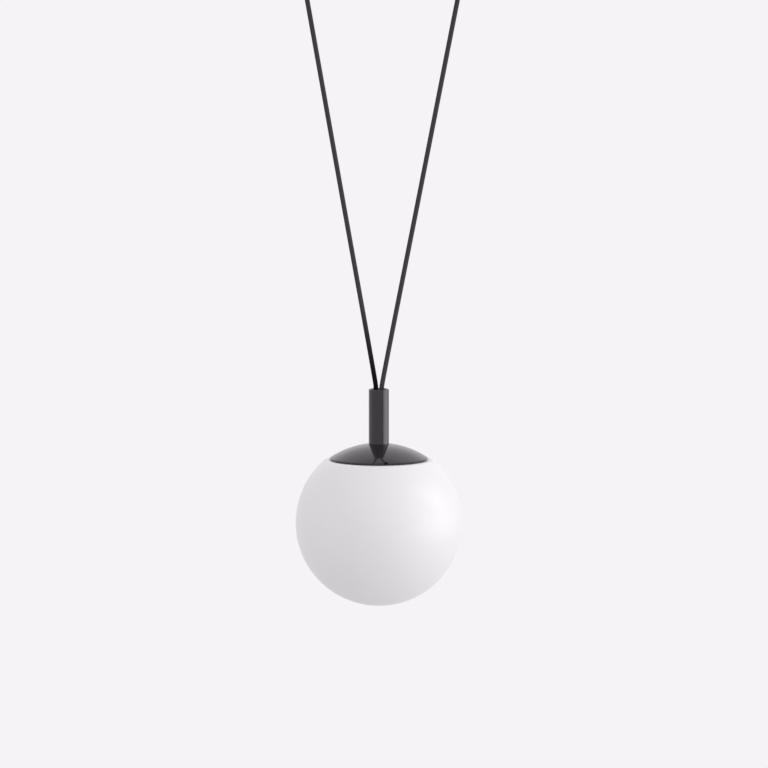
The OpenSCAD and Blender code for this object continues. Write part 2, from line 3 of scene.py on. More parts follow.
import bmesh
import bpy
import numpy as np
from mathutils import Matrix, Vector


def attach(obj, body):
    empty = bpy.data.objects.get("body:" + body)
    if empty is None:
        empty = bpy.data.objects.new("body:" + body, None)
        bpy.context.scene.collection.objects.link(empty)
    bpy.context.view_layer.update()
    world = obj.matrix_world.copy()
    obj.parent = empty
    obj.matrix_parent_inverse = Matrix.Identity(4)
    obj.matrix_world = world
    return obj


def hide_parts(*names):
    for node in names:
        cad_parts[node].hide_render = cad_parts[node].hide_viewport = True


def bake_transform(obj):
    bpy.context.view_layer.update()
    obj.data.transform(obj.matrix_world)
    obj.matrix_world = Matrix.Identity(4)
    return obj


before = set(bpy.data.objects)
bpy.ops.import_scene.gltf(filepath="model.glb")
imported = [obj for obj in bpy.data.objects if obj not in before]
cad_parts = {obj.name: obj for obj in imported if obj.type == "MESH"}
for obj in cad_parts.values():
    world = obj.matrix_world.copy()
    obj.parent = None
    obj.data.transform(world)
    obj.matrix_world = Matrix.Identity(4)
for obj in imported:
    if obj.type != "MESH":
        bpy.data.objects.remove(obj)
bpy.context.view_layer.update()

scene = bpy.context.scene
scene.view_settings.view_transform = "Standard"
mm = 0.001
fullTurn = 2 * math.pi
weldGap, sliver = 2e-6, 1e-7
headX, seatZ = -4.5, -583  # the head's axis and the stem's seat on the cap, in millimetres
headAxis = (headX * mm, 0.0, seatZ * mm)
print("frame loaded:", len(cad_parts), "nodes")


# camera: a long lens, a little above the cap
shot = {"distance": 5.0, "pitch": 5.95, "aim": (0.0017, 0.0, -0.511), "seen": 0.9205, "sensor": 36, "far": 50}


def setCamera():
    pitch = math.radians(shot["pitch"])
    look = Vector((0, math.cos(pitch), -math.sin(pitch)))
    data = bpy.data.cameras.new("photoCamera")
    data.sensor_width = shot["sensor"]
    data.lens = shot["sensor"] * shot["distance"] / shot["seen"]
    data.clip_end = shot["far"]
    camera = bpy.data.objects.new("photoCamera", data)
    camera.location = Vector(shot["aim"]) - look * shot["distance"]
    camera.rotation_euler = (math.radians(90) - pitch, 0, 0)
    scene.collection.objects.link(camera)
    scene.camera = camera


setCamera()
print("camera set")


# small helpers
def addObject(name, mesh):
    obj = bpy.data.objects.new(name, mesh)
    scene.collection.objects.link(obj)
    return obj


def camelName(node):
    first, *others = node.split("_")
    return first + "".join(word.capitalize() for word in others)


def smoothFaces(mesh, angle=30):
    mesh.shade_smooth()
    mesh.set_sharp_from_angle(angle=math.radians(angle))


def plainMesh(obj):
    # the evaluated result as a mesh of its own, with no modifiers left
    deps = bpy.context.evaluated_depsgraph_get()
    deps.update()
    made = bpy.data.meshes.new_from_object(obj.evaluated_get(deps))
    obj.modifiers.clear()
    obj.data = made


def softenEdges(obj, width, segments, angle):
    # rounds each edge that is sharper than the angle, by a width in millimetres
    soft = obj.modifiers.new("edges", "BEVEL")
    soft.width, soft.segments = width * mm, segments
    soft.limit_method, soft.angle_limit = "ANGLE", math.radians(angle)
    plainMesh(obj)


def arcPoints(cx, cz, r, start, end, steps):
    turns = [start + (end - start) * k / steps for k in range(steps + 1)]
    return [(cx + r * math.cos(math.radians(a)), cz + r * math.sin(math.radians(a))) for a in turns]


# node trees
def newTree(name, kind, inputs, outputs):
    tree = bpy.data.node_groups.new(name, kind)
    for way, sockets in (("INPUT", inputs), ("OUTPUT", outputs)):
        for label, sort in sockets.items():
            tree.interface.new_socket(label, in_out=way, socket_type="NodeSocket" + sort)
    return tree, tree.nodes.new("NodeGroupInput"), tree.nodes.new("NodeGroupOutput")


def geometryTree(name, inputs):
    piece = {"Geometry": "Geometry"}
    return newTree(name, "GeometryNodeTree", piece | inputs, piece)


def setInputs(node, values):
    for key, value in values.items():
        node.inputs[key].default_value = value


def addNode(tree, kind, values=None, **settings):
    node = tree.nodes.new(kind)
    for key, value in settings.items():
        setattr(node, key, value)
    setInputs(node, values or {})
    return node


def wire(source, output, target, place):
    target.id_data.links.new(source.outputs[output], target.inputs[place])


def useTree(obj, tree, values):
    mod = obj.modifiers.new(tree.name, "NODES")
    mod.node_group = tree
    for item in tree.interface.items_tree:
        if item.in_out == "INPUT" and item.name in values:
            mod[item.identifier] = values[item.name]
    plainMesh(obj)


def newMaterial(name):
    mat = bpy.data.materials.new(name)
    mat.use_nodes = True
    return mat, mat.node_tree, mat.node_tree.nodes["Principled BSDF"]


# shader groups, each built once and placed with its own values
noiseSpan = {"From Min": 0.3, "From Max": 0.7}  # where most of a noise texture's values lie
smearRatio = 2.3


def mottleGroup():
    # two tones in soft clouds, with a gloss that varies in finer smears
    tree, inp, out = newTree("mottle", "ShaderNodeTree",
                             {"Vector": "Vector", "Scale": "Float", "Dark": "Color", "Light": "Color",
                              "Smooth": "Float", "Rough": "Float"},
                             {"Color": "Color", "Roughness": "Float"})
    cloud = addNode(tree, "ShaderNodeTexNoise", {"Detail": 4.0, "Roughness": 0.6})
    smear = addNode(tree, "ShaderNodeTexNoise", {"Detail": 6.0, "Roughness": 0.7, "Distortion": 0.8})
    finer = addNode(tree, "ShaderNodeMath", {1: smearRatio}, operation="MULTIPLY")
    spread = addNode(tree, "ShaderNodeMapRange", noiseSpan)
    mix = addNode(tree, "ShaderNodeMix", data_type="RGBA")
    rough = addNode(tree, "ShaderNodeMapRange", noiseSpan)
    wire(inp, "Vector", cloud, "Vector")
    wire(inp, "Vector", smear, "Vector")
    wire(inp, "Scale", cloud, "Scale")
    wire(inp, "Scale", finer, 0)
    wire(finer, 0, smear, "Scale")
    wire(cloud, "Fac", spread, "Value")
    wire(spread, "Result", mix, "Factor")
    wire(inp, "Dark", mix, "A")
    wire(inp, "Light", mix, "B")
    wire(smear, "Fac", rough, "Value")
    wire(inp, "Smooth", rough, "To Min")
    wire(inp, "Rough", rough, "To Max")
    wire(mix, "Result", out, "Color")
    wire(rough, "Result", out, "Roughness")
    return tree


def grainGroup():
    # a fine height pattern, drawn out where Stretch is uneven
    tree, inp, out = newTree("grain", "ShaderNodeTree",
                             {"Vector": "Vector", "Scale": "Float", "Stretch": "Vector"}, {"Height": "Float"})
    pull = addNode(tree, "ShaderNodeVectorMath", operation="MULTIPLY")
    noise = addNode(tree, "ShaderNodeTexNoise", {"Detail": 3.0, "Roughness": 0.55})
    wire(inp, "Vector", pull, 0)
    wire(inp, "Stretch", pull, 1)
    wire(pull, 0, noise, "Vector")
    wire(inp, "Scale", noise, "Scale")
    wire(noise, "Fac", out, "Height")
    return tree


mottle, grain = mottleGroup(), grainGroup()

# each finish: two tones, their spread, gloss, grain
finishes = {
    "charcoalLacquer": {"dark": (0.018, 0.0165, 0.018), "light": (0.022, 0.0202, 0.022), "scale": 14,
                        "gloss": (0.09, 0.13), "tint": (1, 0.93, 1), "grain": 700, "depth": 0.004},
    "satinOpal": {"dark": (0.866, 0.851, 0.866), "light": (0.886, 0.871, 0.886), "scale": 9,
                  "gloss": (0.38, 0.44), "grain": 1500, "depth": 0.01},
    "zincPlate": {"dark": (0.50, 0.51, 0.53), "light": (0.66, 0.67, 0.69), "scale": 90, "metal": 1.0,
                  "gloss": (0.28, 0.42), "grain": 900, "stretch": (0.12, 1, 1), "depth": 0.03},
    "blackSteel": {"dark": (0.003, 0.003, 0.003), "light": (0.007, 0.007, 0.007), "scale": 300,
                   "gloss": (0.5, 0.65), "shine": 0.15, "grain": 1600, "depth": 0.03},
    "blackNylon": {"dark": (0.016, 0.016, 0.017), "light": (0.026, 0.026, 0.027), "scale": 120,
                   "gloss": (0.42, 0.56), "grain": 1400, "depth": 0.08},
    "phenolic": {"dark": (0.012, 0.011, 0.010), "light": (0.024, 0.021, 0.020), "scale": 70,
                 "gloss": (0.2, 0.32), "grain": 800, "depth": 0.02},
    "whiteNylon": {"dark": (0.70, 0.69, 0.66), "light": (0.78, 0.77, 0.74), "scale": 80,
                   "gloss": (0.4, 0.52), "grain": 1200, "depth": 0.05},
    "plainBrass": {"dark": (0.58, 0.41, 0.15), "light": (0.74, 0.55, 0.24), "scale": 160, "metal": 1.0,
                   "gloss": (0.22, 0.36), "grain": 1100, "depth": 0.03},
    "brownWire": {"dark": (0.10, 0.045, 0.02), "light": (0.14, 0.065, 0.03), "scale": 120,
                  "gloss": (0.38, 0.5), "grain": 1200, "depth": 0.02},
    "blueWire": {"dark": (0.02, 0.07, 0.28), "light": (0.03, 0.10, 0.36), "scale": 120,
                 "gloss": (0.38, 0.5), "grain": 1200, "depth": 0.02},
    "silicone": {"dark": (0.62, 0.62, 0.60), "light": (0.72, 0.72, 0.70), "scale": 90,
                 "gloss": (0.45, 0.6), "grain": 1300, "depth": 0.03},
    "steatite": {"dark": (0.66, 0.62, 0.54), "light": (0.76, 0.73, 0.65), "scale": 150,
                 "gloss": (0.6, 0.75), "grain": 1500, "depth": 0.08},
    "nickel": {"dark": (0.55, 0.54, 0.51), "light": (0.68, 0.67, 0.64), "scale": 130, "metal": 1.0,
               "gloss": (0.18, 0.3), "grain": 900, "depth": 0.02},
    "bulbDiffuser": {"dark": (0.82, 0.82, 0.80), "light": (0.87, 0.87, 0.85), "scale": 30,
                     "gloss": (0.3, 0.4), "grain": 1200, "depth": 0.01},
}


def makeFinish(name, spec):
    mat, tree, shader = newMaterial(name)
    setInputs(shader, {"Metallic": spec.get("metal", 0.0), "Specular IOR Level": spec.get("shine", 0.5),
                       "Specular Tint": (*spec.get("tint", (1, 1, 1)), 1)})
    smooth, rough = spec["gloss"]
    coords = addNode(tree, "ShaderNodeTexCoord")
    tone = addNode(tree, "ShaderNodeGroup", {
        "Scale": spec["scale"], "Dark": (*spec["dark"], 1), "Light": (*spec["light"], 1),
        "Smooth": smooth, "Rough": rough}, node_tree=mottle)
    skin = addNode(tree, "ShaderNodeGroup", {
        "Scale": spec["grain"], "Stretch": spec.get("stretch", (1, 1, 1))}, node_tree=grain)
    bump = addNode(tree, "ShaderNodeBump", {"Strength": spec["depth"], "Distance": mm})
    wire(coords, "Object", tone, "Vector")
    wire(coords, "Object", skin, "Vector")
    wire(tone, "Color", shader, "Base Color")
    wire(tone, "Roughness", shader, "Roughness")
    wire(skin, "Height", bump, "Height")
    wire(bump, "Normal", shader, "Normal")
    return mat


finish = {name: makeFinish(name, spec) for name, spec in finishes.items()}
print("finishes made:", len(finish))


# geometry trees
def valueLinks(tree):
    # short forms for links and maths nodes in one tree
    link = tree.links.new

    def maths(operation, a, b=None):
        node = addNode(tree, "ShaderNodeMath", operation=operation)
        for k, value in enumerate((a, b)):
            if isinstance(value, (int, float)):
                node.inputs[k].default_value = value
            elif value is not None:
                link(value, node.inputs[k])
        return node.outputs[0]

    def times(a, b):
        return maths("MULTIPLY", a, b)

    return link, maths, times


def vectorMaths(tree, operation, a, b):
    node = addNode(tree, "ShaderNodeVectorMath", operation=operation)
    tree.links.new(a, node.inputs[0])
    tree.links.new(b, node.inputs["Scale" if operation == "SCALE" else 1])
    return node.outputs[0]


def finishTree(tree, inp, out, geometry):
    real = addNode(tree, "GeometryNodeRealizeInstances")
    paint = addNode(tree, "GeometryNodeSetMaterial")
    tree.links.new(geometry, real.inputs["Geometry"])
    wire(real, "Geometry", paint, "Geometry")
    wire(inp, "Finish", paint, "Material")
    wire(paint, "Geometry", out, "Geometry")


def turnedTree():
    # a half section led round a circle, or round a slot's outline where Run is not zero
    tree, inp, out = geometryTree("turnedPiece", {"Segments": "Int", "Path Radius": "Float", "Run": "Float",
                                                  "Centre": "Vector", "Finish": "Material"})
    link, maths, times = valueLinks(tree)
    section = addNode(tree, "GeometryNodeMeshToCurve")
    path = addNode(tree, "GeometryNodeCurvePrimitiveCircle", mode="RADIUS")
    where = addNode(tree, "GeometryNodeInputPosition")
    split = addNode(tree, "ShaderNodeSeparateXYZ")
    shift = addNode(tree, "ShaderNodeCombineXYZ")
    pull = addNode(tree, "GeometryNodeSetPosition")
    upright = addNode(tree, "GeometryNodeSetCurveNormal", mode="Z_UP")
    sweep = addNode(tree, "GeometryNodeCurveToMesh")
    place = addNode(tree, "GeometryNodeTransform")
    weld = addNode(tree, "GeometryNodeMergeByDistance", {"Distance": 1e-6})
    wire(inp, "Geometry", section, 0)
    wire(inp, "Segments", path, "Resolution")
    wire(inp, "Path Radius", path, "Radius")
    wire(where, 0, split, 0)
    link(times(maths("SIGN", split.outputs["X"]), inp.outputs["Run"]), shift.inputs["X"])
    wire(path, "Curve", pull, "Geometry")
    wire(shift, 0, pull, "Offset")
    wire(pull, "Geometry", upright, "Curve")
    wire(upright, "Curve", sweep, "Curve")
    wire(section, "Curve", sweep, "Profile Curve")
    wire(sweep, "Mesh", place, "Geometry")
    wire(inp, "Centre", place, "Translation")
    wire(place, "Geometry", weld, "Geometry")
    finishTree(tree, inp, out, weld.outputs["Geometry"])
    return tree


def reliefTree():
    # grooves cut round an axis: a screw thread, or upright ribs where Starts is high and Pitch is long
    tree, inp, out = geometryTree("roundRelief", {"Centre": "Vector", "Pitch": "Float", "Starts": "Float",
                                                  "Depth": "Float", "Low": "Float", "High": "Float",
                                                  "Core": "Float"})
    link, maths, times = valueLinks(tree)
    given = inp.outputs
    where = addNode(tree, "GeometryNodeInputPosition")
    split = addNode(tree, "ShaderNodeSeparateXYZ")
    link(vectorMaths(tree, "SUBTRACT", where.outputs[0], given["Centre"]), split.inputs[0])
    x, y, z = (split.outputs[k] for k in "XYZ")
    reach = maths("SQRT", maths("ADD", times(x, x), times(y, y)))
    turn = maths("DIVIDE", maths("ARCTAN2", y, x), fullTurn)
    phase = maths("SUBTRACT", maths("DIVIDE", z, given["Pitch"]), times(turn, given["Starts"]))
    wave = maths("SUBTRACT", 0.5, times(maths("COSINE", times(phase, fullTurn)), 0.5))
    inside = times(maths("GREATER_THAN", z, given["Low"]), maths("LESS_THAN", z, given["High"]))
    inside = times(inside, maths("GREATER_THAN", reach, given["Core"]))
    deep = times(times(wave, inside), given["Depth"])
    inward = addNode(tree, "ShaderNodeCombineXYZ")
    link(x, inward.inputs["X"])
    link(y, inward.inputs["Y"])
    scale = times(maths("DIVIDE", deep, maths("MAXIMUM", reach, 1e-6)), -1.0)
    move = addNode(tree, "GeometryNodeSetPosition")
    wire(inp, "Geometry", move, "Geometry")
    link(vectorMaths(tree, "SCALE", inward.outputs[0], scale), move.inputs["Offset"])
    wire(move, "Geometry", out, "Geometry")
    return tree


# faces round a screw's head, shaft and socket, rows of faces along one turn of a thread
headSides, shaftSides, socketSides, rowsPerPitch = 48, 32, 6, 8


def screwTree(relief):
    # screws with a slot or a hexagon socket, one on each point, turned to the point's aim
    tree, inp, out = geometryTree("screwSet", {
        "Head Radius": "Float", "Head Height": "Float", "Shaft Radius": "Float", "Shaft Length": "Float",
        "Pitch": "Float", "Thread Depth": "Float", "Drive Width": "Float", "Drive Depth": "Float",
        "Socket": "Bool", "Finish": "Material"})
    link, maths, times = valueLinks(tree)
    given = inp.outputs

    def lifted(geometry, height):
        node = addNode(tree, "GeometryNodeTransform")
        up = addNode(tree, "ShaderNodeCombineXYZ")
        link(height, up.inputs["Z"])
        link(geometry, node.inputs["Geometry"])
        wire(up, 0, node, "Translation")
        return node.outputs["Geometry"]

    # the cutter's middle is level with the head's top, so it is twice as high as the drive is deep
    headRadius, headHeight, driveWidth = given["Head Radius"], given["Head Height"], given["Drive Width"]
    cutHeight = times(given["Drive Depth"], 2.0)
    head = addNode(tree, "GeometryNodeMeshCylinder", {"Vertices": headSides})
    link(headRadius, head.inputs["Radius"])
    link(headHeight, head.inputs["Depth"])
    slot = addNode(tree, "GeometryNodeMeshCube")
    box = addNode(tree, "ShaderNodeCombineXYZ")
    link(times(headRadius, 3.0), box.inputs["X"])
    link(driveWidth, box.inputs["Y"])
    link(cutHeight, box.inputs["Z"])
    wire(box, 0, slot, "Size")
    socket = addNode(tree, "GeometryNodeMeshCylinder", {"Vertices": socketSides})
    link(maths("DIVIDE", driveWidth, math.sqrt(3)), socket.inputs["Radius"])
    link(cutHeight, socket.inputs["Depth"])
    pick = addNode(tree, "GeometryNodeSwitch", input_type="GEOMETRY")
    wire(inp, "Socket", pick, "Switch")
    wire(slot, "Mesh", pick, "False")
    wire(socket, "Mesh", pick, "True")
    cut = addNode(tree, "GeometryNodeMeshBoolean", operation="DIFFERENCE", solver="EXACT")
    link(lifted(head.outputs["Mesh"], times(headHeight, 0.5)), cut.inputs["Mesh 1"])
    link(lifted(pick.outputs["Output"], headHeight), cut.inputs["Mesh 2"])
    shaft = addNode(tree, "GeometryNodeMeshCylinder", {"Vertices": shaftSides})
    wire(inp, "Shaft Radius", shaft, "Radius")
    wire(inp, "Shaft Length", shaft, "Depth")
    rows = times(maths("DIVIDE", given["Shaft Length"], given["Pitch"]), rowsPerPitch)
    link(maths("MAXIMUM", rows, 1.0), shaft.inputs["Side Segments"])
    groove = addNode(tree, "GeometryNodeGroup", node_tree=relief)
    setInputs(groove, {"Starts": 1.0, "Low": -1.0, "High": 1.0})
    link(lifted(shaft.outputs["Mesh"], times(given["Shaft Length"], -0.5)), groove.inputs["Geometry"])
    wire(inp, "Pitch", groove, "Pitch")
    wire(inp, "Thread Depth", groove, "Depth")
    both = addNode(tree, "GeometryNodeJoinGeometry")
    wire(cut, "Mesh", both, 0)
    wire(groove, "Geometry", both, 0)
    aim = addNode(tree, "GeometryNodeInputNamedAttribute", {"Name": "aim"}, data_type="FLOAT_VECTOR")
    turn = addNode(tree, "FunctionNodeAlignRotationToVector", axis="Z")
    wire(aim, "Attribute", turn, "Vector")
    spread = addNode(tree, "GeometryNodeInstanceOnPoints")
    wire(inp, "Geometry", spread, "Points")
    wire(both, "Geometry", spread, "Instance")
    wire(turn, "Rotation", spread, "Rotation")
    finishTree(tree, inp, out, spread.outputs["Instances"])
    return tree


# a yarn's cross section as a power of a sine, how far it dips under the next, the level that stays in place
yarnCrown, yarnDip, yarnLevel = 0.7, 0.45, 0.65


def sleeveTree():
    # a round sleeve swept along the route, its yarns crossing over and under each other; it also stores a
    # painted shade share between two heights
    tree, inp, out = geometryTree("braidedSleeve", {
        "Radius": "Float", "Around": "Int", "Carriers": "Float", "Relief": "Float", "Shade Start": "Float",
        "Shade End": "Float", "Shade Curve": "Float", "Finish": "Material"})
    link, maths, times = valueLinks(tree)
    given = inp.outputs

    def keep(geometry, value):
        node = addNode(tree, "GeometryNodeCaptureAttribute")
        node.capture_items.new("FLOAT", "kept")
        link(geometry, node.inputs[0])
        link(value, node.inputs[1])
        return node.outputs[0], node.outputs[1]

    def store(geometry, name, kind, value):
        node = addNode(tree, "GeometryNodeStoreNamedAttribute", {"Name": name}, data_type=kind,
                       domain="POINT")
        link(geometry, node.inputs["Geometry"])
        link(value, node.inputs["Value"])
        return node.outputs["Geometry"]

    route = addNode(tree, "GeometryNodeMeshToCurve")
    wire(inp, "Geometry", route, 0)
    place = addNode(tree, "GeometryNodeSplineParameter")
    path, run = keep(route.outputs[0], place.outputs["Length"])
    circle = addNode(tree, "GeometryNodeCurvePrimitiveCircle", mode="RADIUS")
    wire(inp, "Around", circle, "Resolution")
    wire(inp, "Radius", circle, "Radius")
    section, share = keep(circle.outputs["Curve"], place.outputs["Factor"])
    sweep = addNode(tree, "GeometryNodeCurveToMesh", {"Fill Caps": True})
    link(path, sweep.inputs["Curve"])
    link(section, sweep.inputs["Profile Curve"])

    girth = times(given["Radius"], fullTurn)
    turn = times(share, given["Carriers"])
    along = times(maths("DIVIDE", run, girth), given["Carriers"])
    p, q = maths("ADD", turn, along), maths("SUBTRACT", turn, along)
    crossing = maths("FLOORED_MODULO", maths("ADD", maths("FLOOR", p), maths("FLOOR", q)), 2.0)
    over = maths("LESS_THAN", crossing, 0.5)
    pick = addNode(tree, "ShaderNodeMix", data_type="FLOAT")
    other = addNode(tree, "ShaderNodeMix", data_type="FLOAT")
    for node, a, b in ((pick, q, p), (other, p, q)):
        link(over, node.inputs["Factor"])
        link(maths("FLOORED_MODULO", a, 1.0), node.inputs["A"])
        link(maths("FLOORED_MODULO", b, 1.0), node.inputs["B"])
    across = maths("POWER", maths("SINE", times(pick.outputs["Result"], math.pi)), yarnCrown)
    swell = maths("SINE", times(other.outputs["Result"], math.pi))
    high = times(across, maths("ADD", times(swell, yarnDip), 1 - yarnDip))

    angle = times(share, fullTurn)
    flat = addNode(tree, "ShaderNodeCombineXYZ")
    link(times(maths("COSINE", angle), given["Radius"]), flat.inputs["X"])
    link(times(maths("SINE", angle), given["Radius"]), flat.inputs["Y"])
    link(run, flat.inputs["Z"])
    where = addNode(tree, "GeometryNodeInputPosition")
    split = addNode(tree, "ShaderNodeSeparateXYZ")
    wire(where, 0, split, 0)
    # painted shade: a share from 0 to 1 that rises between the two heights along a power curve, stored for
    # the material to darken the cord
    clear = addNode(tree, "ShaderNodeMapRange", {"To Min": 1.0, "To Max": 0.0})
    wire(split, "Z", clear, "Value")
    wire(inp, "Shade Start", clear, "From Min")
    wire(inp, "Shade End", clear, "From Max")
    dim = maths("SUBTRACT", 1.0, maths("POWER", clear.outputs["Result"], given["Shade Curve"]))
    made = store(sweep.outputs["Mesh"], "braid", "FLOAT", high)
    made = store(made, "unrolled", "FLOAT_VECTOR", flat.outputs[0])
    made = store(made, "shade", "FLOAT", dim)
    stored = addNode(tree, "GeometryNodeInputNamedAttribute", {"Name": "braid"}, data_type="FLOAT")
    normal = addNode(tree, "GeometryNodeInputNormal")
    lift = times(maths("SUBTRACT", stored.outputs["Attribute"], yarnLevel), given["Relief"])
    move = addNode(tree, "GeometryNodeSetPosition")
    link(made, move.inputs["Geometry"])
    link(vectorMaths(tree, "SCALE", normal.outputs[0], lift), move.inputs["Offset"])
    finishTree(tree, inp, out, move.outputs["Geometry"])
    return tree


turned, relief = turnedTree(), reliefTree()
sleeve, screws = sleeveTree(), screwTree(relief)


def spinSection(name, section, mat, segments=128, centre=headAxis, closed=True, pathRadius=1.0, run=0.0):
    # the section is in millimetres: distance from the axis, height
    mesh = bpy.data.meshes.new(name)
    n = len(section)
    edges = [(k, (k + 1) % n) for k in range(n if closed else n - 1)]
    mesh.from_pydata([(r * mm - pathRadius, -z * mm, 0.0) for r, z in section], edges, [])
    obj = addObject(name, mesh)
    useTree(obj, turned, {"Segments": segments, "Path Radius": pathRadius, "Run": run, "Centre": centre,
                          "Finish": finish[mat]})
    bm = bmesh.new()
    bm.from_mesh(obj.data)
    bmesh.ops.remove_doubles(bm, verts=bm.verts, dist=weldGap)
    bmesh.ops.dissolve_degenerate(bm, edges=bm.edges, dist=sliver)
    bmesh.ops.recalc_face_normals(bm, faces=bm.faces)
    bm.to_mesh(obj.data)
    bm.free()
    smoothFaces(obj.data)
    return obj


uprightPitch = 1e6  # so long that ribs stand upright


def cutRelief(obj, spec, centre=headAxis):
    # sizes in millimetres; a thread has a pitch, ribs have a count
    useTree(obj, relief, {"Centre": centre, "Pitch": spec.get("pitch", uprightPitch) * mm,
                          "Starts": float(spec.get("ribs", 1)), "Depth": spec["depth"] * mm,
                          "Low": spec["low"] * mm, "High": spec["high"] * mm, "Core": spec["core"] * mm})
    smoothFaces(obj.data, angle=40)


def setPiece(obj, body, node, slotName):
    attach(obj, body)
    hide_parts(node)
    return obj


endSteps, rimSteps = 16, 40  # edges round a slot's end and round a whole hole


def drill(obj, holes):
    # each hole: start, direction, width, height, depth in metres, with round ends to its width
    bm = bmesh.new()
    for point, aim, width, height, depth in holes:
        turn = Vector(aim).to_track_quat("Z", "Y").to_matrix().to_4x4()
        turn.translation = Vector(point)
        r, run = height / 2, (width - height) / 2
        rim = arcPoints(run, 0, r, -90, 90, endSteps) + arcPoints(-run, 0, r, 90, 270, endSteps)
        if not run:
            rim = arcPoints(0, 0, r, 0, 360, rimSteps)[:-1]
        near = [bm.verts.new(turn @ Vector((x, y, 0))) for x, y in rim]
        far = [bm.verts.new(turn @ Vector((x, y, depth))) for x, y in rim]
        bm.faces.new(near)
        bm.faces.new(far)
        for k in range(len(rim)):
            bm.faces.new((near[k - 1], near[k], far[k], far[k - 1]))
    bmesh.ops.recalc_face_normals(bm, faces=bm.faces)
    mesh = bpy.data.meshes.new(obj.name + "Drill")
    bm.to_mesh(mesh)
    bm.free()
    tool = addObject(mesh.name, mesh)
    cut = obj.modifiers.new("holes", "BOOLEAN")
    cut.object, cut.operation, cut.solver = tool, "DIFFERENCE", "EXACT"
    plainMesh(obj)
    bpy.data.objects.remove(tool)
    smoothFaces(obj.data)


cornerShare = 0.45  # the most of a side that one rounding takes


def roundCorners(corners, steps=4):
    # each corner: distance from the axis, height, rounding
    made = []
    for k, (r, z, size) in enumerate(corners):
        here = Vector((r, z))
        before, after = (Vector(corners[j % len(corners)][:2]) - here for j in (k - 1, k + 1))
        reach = min(size, cornerShare * before.length, cornerShare * after.length)
        a, b = here + before.normalized() * reach, here + after.normalized() * reach
        for t in np.linspace(0, 1, steps + 1) if reach else (0.5,):
            made.append(tuple(a * (1 - t) ** 2 + here * 2 * t * (1 - t) + b * t ** 2))
    return made


def fineRows(section, step, low, high, core):
    # points added on the upright stretch that takes a thread or ribs
    made = []
    for (r, z), (nextR, nextZ) in zip(section, section[1:] + section[:1]):
        made.append((r, z))
        if min(r, nextR) > core and low <= min(z, nextZ) and max(z, nextZ) <= high:
            count = math.ceil(abs(nextZ - z) / step)
            made += [(r + (nextR - r) * k / count, z + (nextZ - z) * k / count) for k in range(1, count)]
    return made


# cord glands: bush with a bell mouth, ribbed flange, thread above
glandSet = {
    "at": 94, "around": 240, "rows": {"step": 0.2, "low": -25.4, "high": -15.5, "core": 7},
    "corners": [(3.15, -15.5, 0.3), (8, -15.5, 0.4), (8, -25, 0), (11, -25, 0.3), (11, -30, 1.5),
                (6.88, -30, 0.5), (3.15, -22, 1.0)],
    "thread": {"pitch": 1.5, "depth": 0.5, "low": -24.8, "high": -15.9, "core": 7},
    "ribs": {"ribs": 40, "depth": 0.3, "low": -28.2, "high": -25.35, "core": 10.5},
}


def makeGland(side, sign):
    s = glandSet
    centre = (sign * s["at"] * mm, 0, 0)
    section = fineRows(roundCorners(s["corners"]), **s["rows"])
    obj = spinSection("cordGland" + side.capitalize(), section, "blackNylon", s["around"], centre)
    cutRelief(obj, s["thread"], centre)
    cutRelief(obj, s["ribs"], centre)
    return setPiece(obj, "ceiling", "cord_gland_" + side, "black_plastic")


glands = {"left": makeGland("left", -1), "right": makeGland("right", 1)}
print("glands made")


# cords: braided textile sleeve over a round cable, routes as in the CAD source
cordSet = {
    "diameter": 5.7 * mm, "around": 40, "step": 0.8 * mm, "carriers": 10, "relief": 0.11 * mm,
    # yarn tones: the darker one also serves as painted shade in the braid's dips
    "yarnDark": (0.036, 0.033, 0.036), "yarnLight": (0.068, 0.063, 0.068),
    # the near black that the painted shade mixes the yarn towards
    "yarnPaintedShade": (0.002, 0.002, 0.002),
    "left": [(-94, -22), (-94, -26), (-93.5, -30), (-90, -50), (-50, -276), (-8.6, -510),
             (-8, -515), (-8, -518), (-8, -537)],
    "right": [(94, -22), (94, -26), (93.4, -30), (89.5, -50), (45.4, -276), (-0.3, -510),
              (-1, -515), (-1, -518), (-1, -537)],
    "inner": [(94, -22), (94, -15), (92.5, -11), (89, -8.6), (84, -8), (14, -8)],
    # painted shade: heights in metres between which the left cord darkens towards the stem, and the power of
    # that fade
    "shade": (-422 * mm, -516 * mm), "paintedShadeCurve": 1.8,
}


def smoothRoute(corners, step):
    # a curve through the corners that keeps the long stretch straight
    pts = [np.array((x * mm, 0.0, z * mm)) for x, z in corners]
    pts = [2 * pts[0] - pts[1]] + pts + [2 * pts[-1] - pts[-2]]
    line = []
    for a, b, c, d in zip(pts, pts[1:], pts[2:], pts[3:]):
        t0 = 0.0
        t1 = t0 + np.linalg.norm(b - a) ** 0.5
        t2 = t1 + np.linalg.norm(c - b) ** 0.5
        t3 = t2 + np.linalg.norm(d - c) ** 0.5
        count = max(2, round(np.linalg.norm(c - b) / step))
        for t in np.linspace(t1, t2, count, endpoint=False):
            ab = a + (b - a) * (t - t0) / (t1 - t0)
            bc = b + (c - b) * (t - t1) / (t2 - t1)
            cd = c + (d - c) * (t - t2) / (t3 - t2)
            abc = ab + (bc - ab) * (t - t0) / (t2 - t0)
            bcd = bc + (cd - bc) * (t - t1) / (t3 - t1)
            line.append(abc + (bcd - abc) * (t - t1) / (t2 - t1))
    line.append(pts[-2])
    return np.array(line)


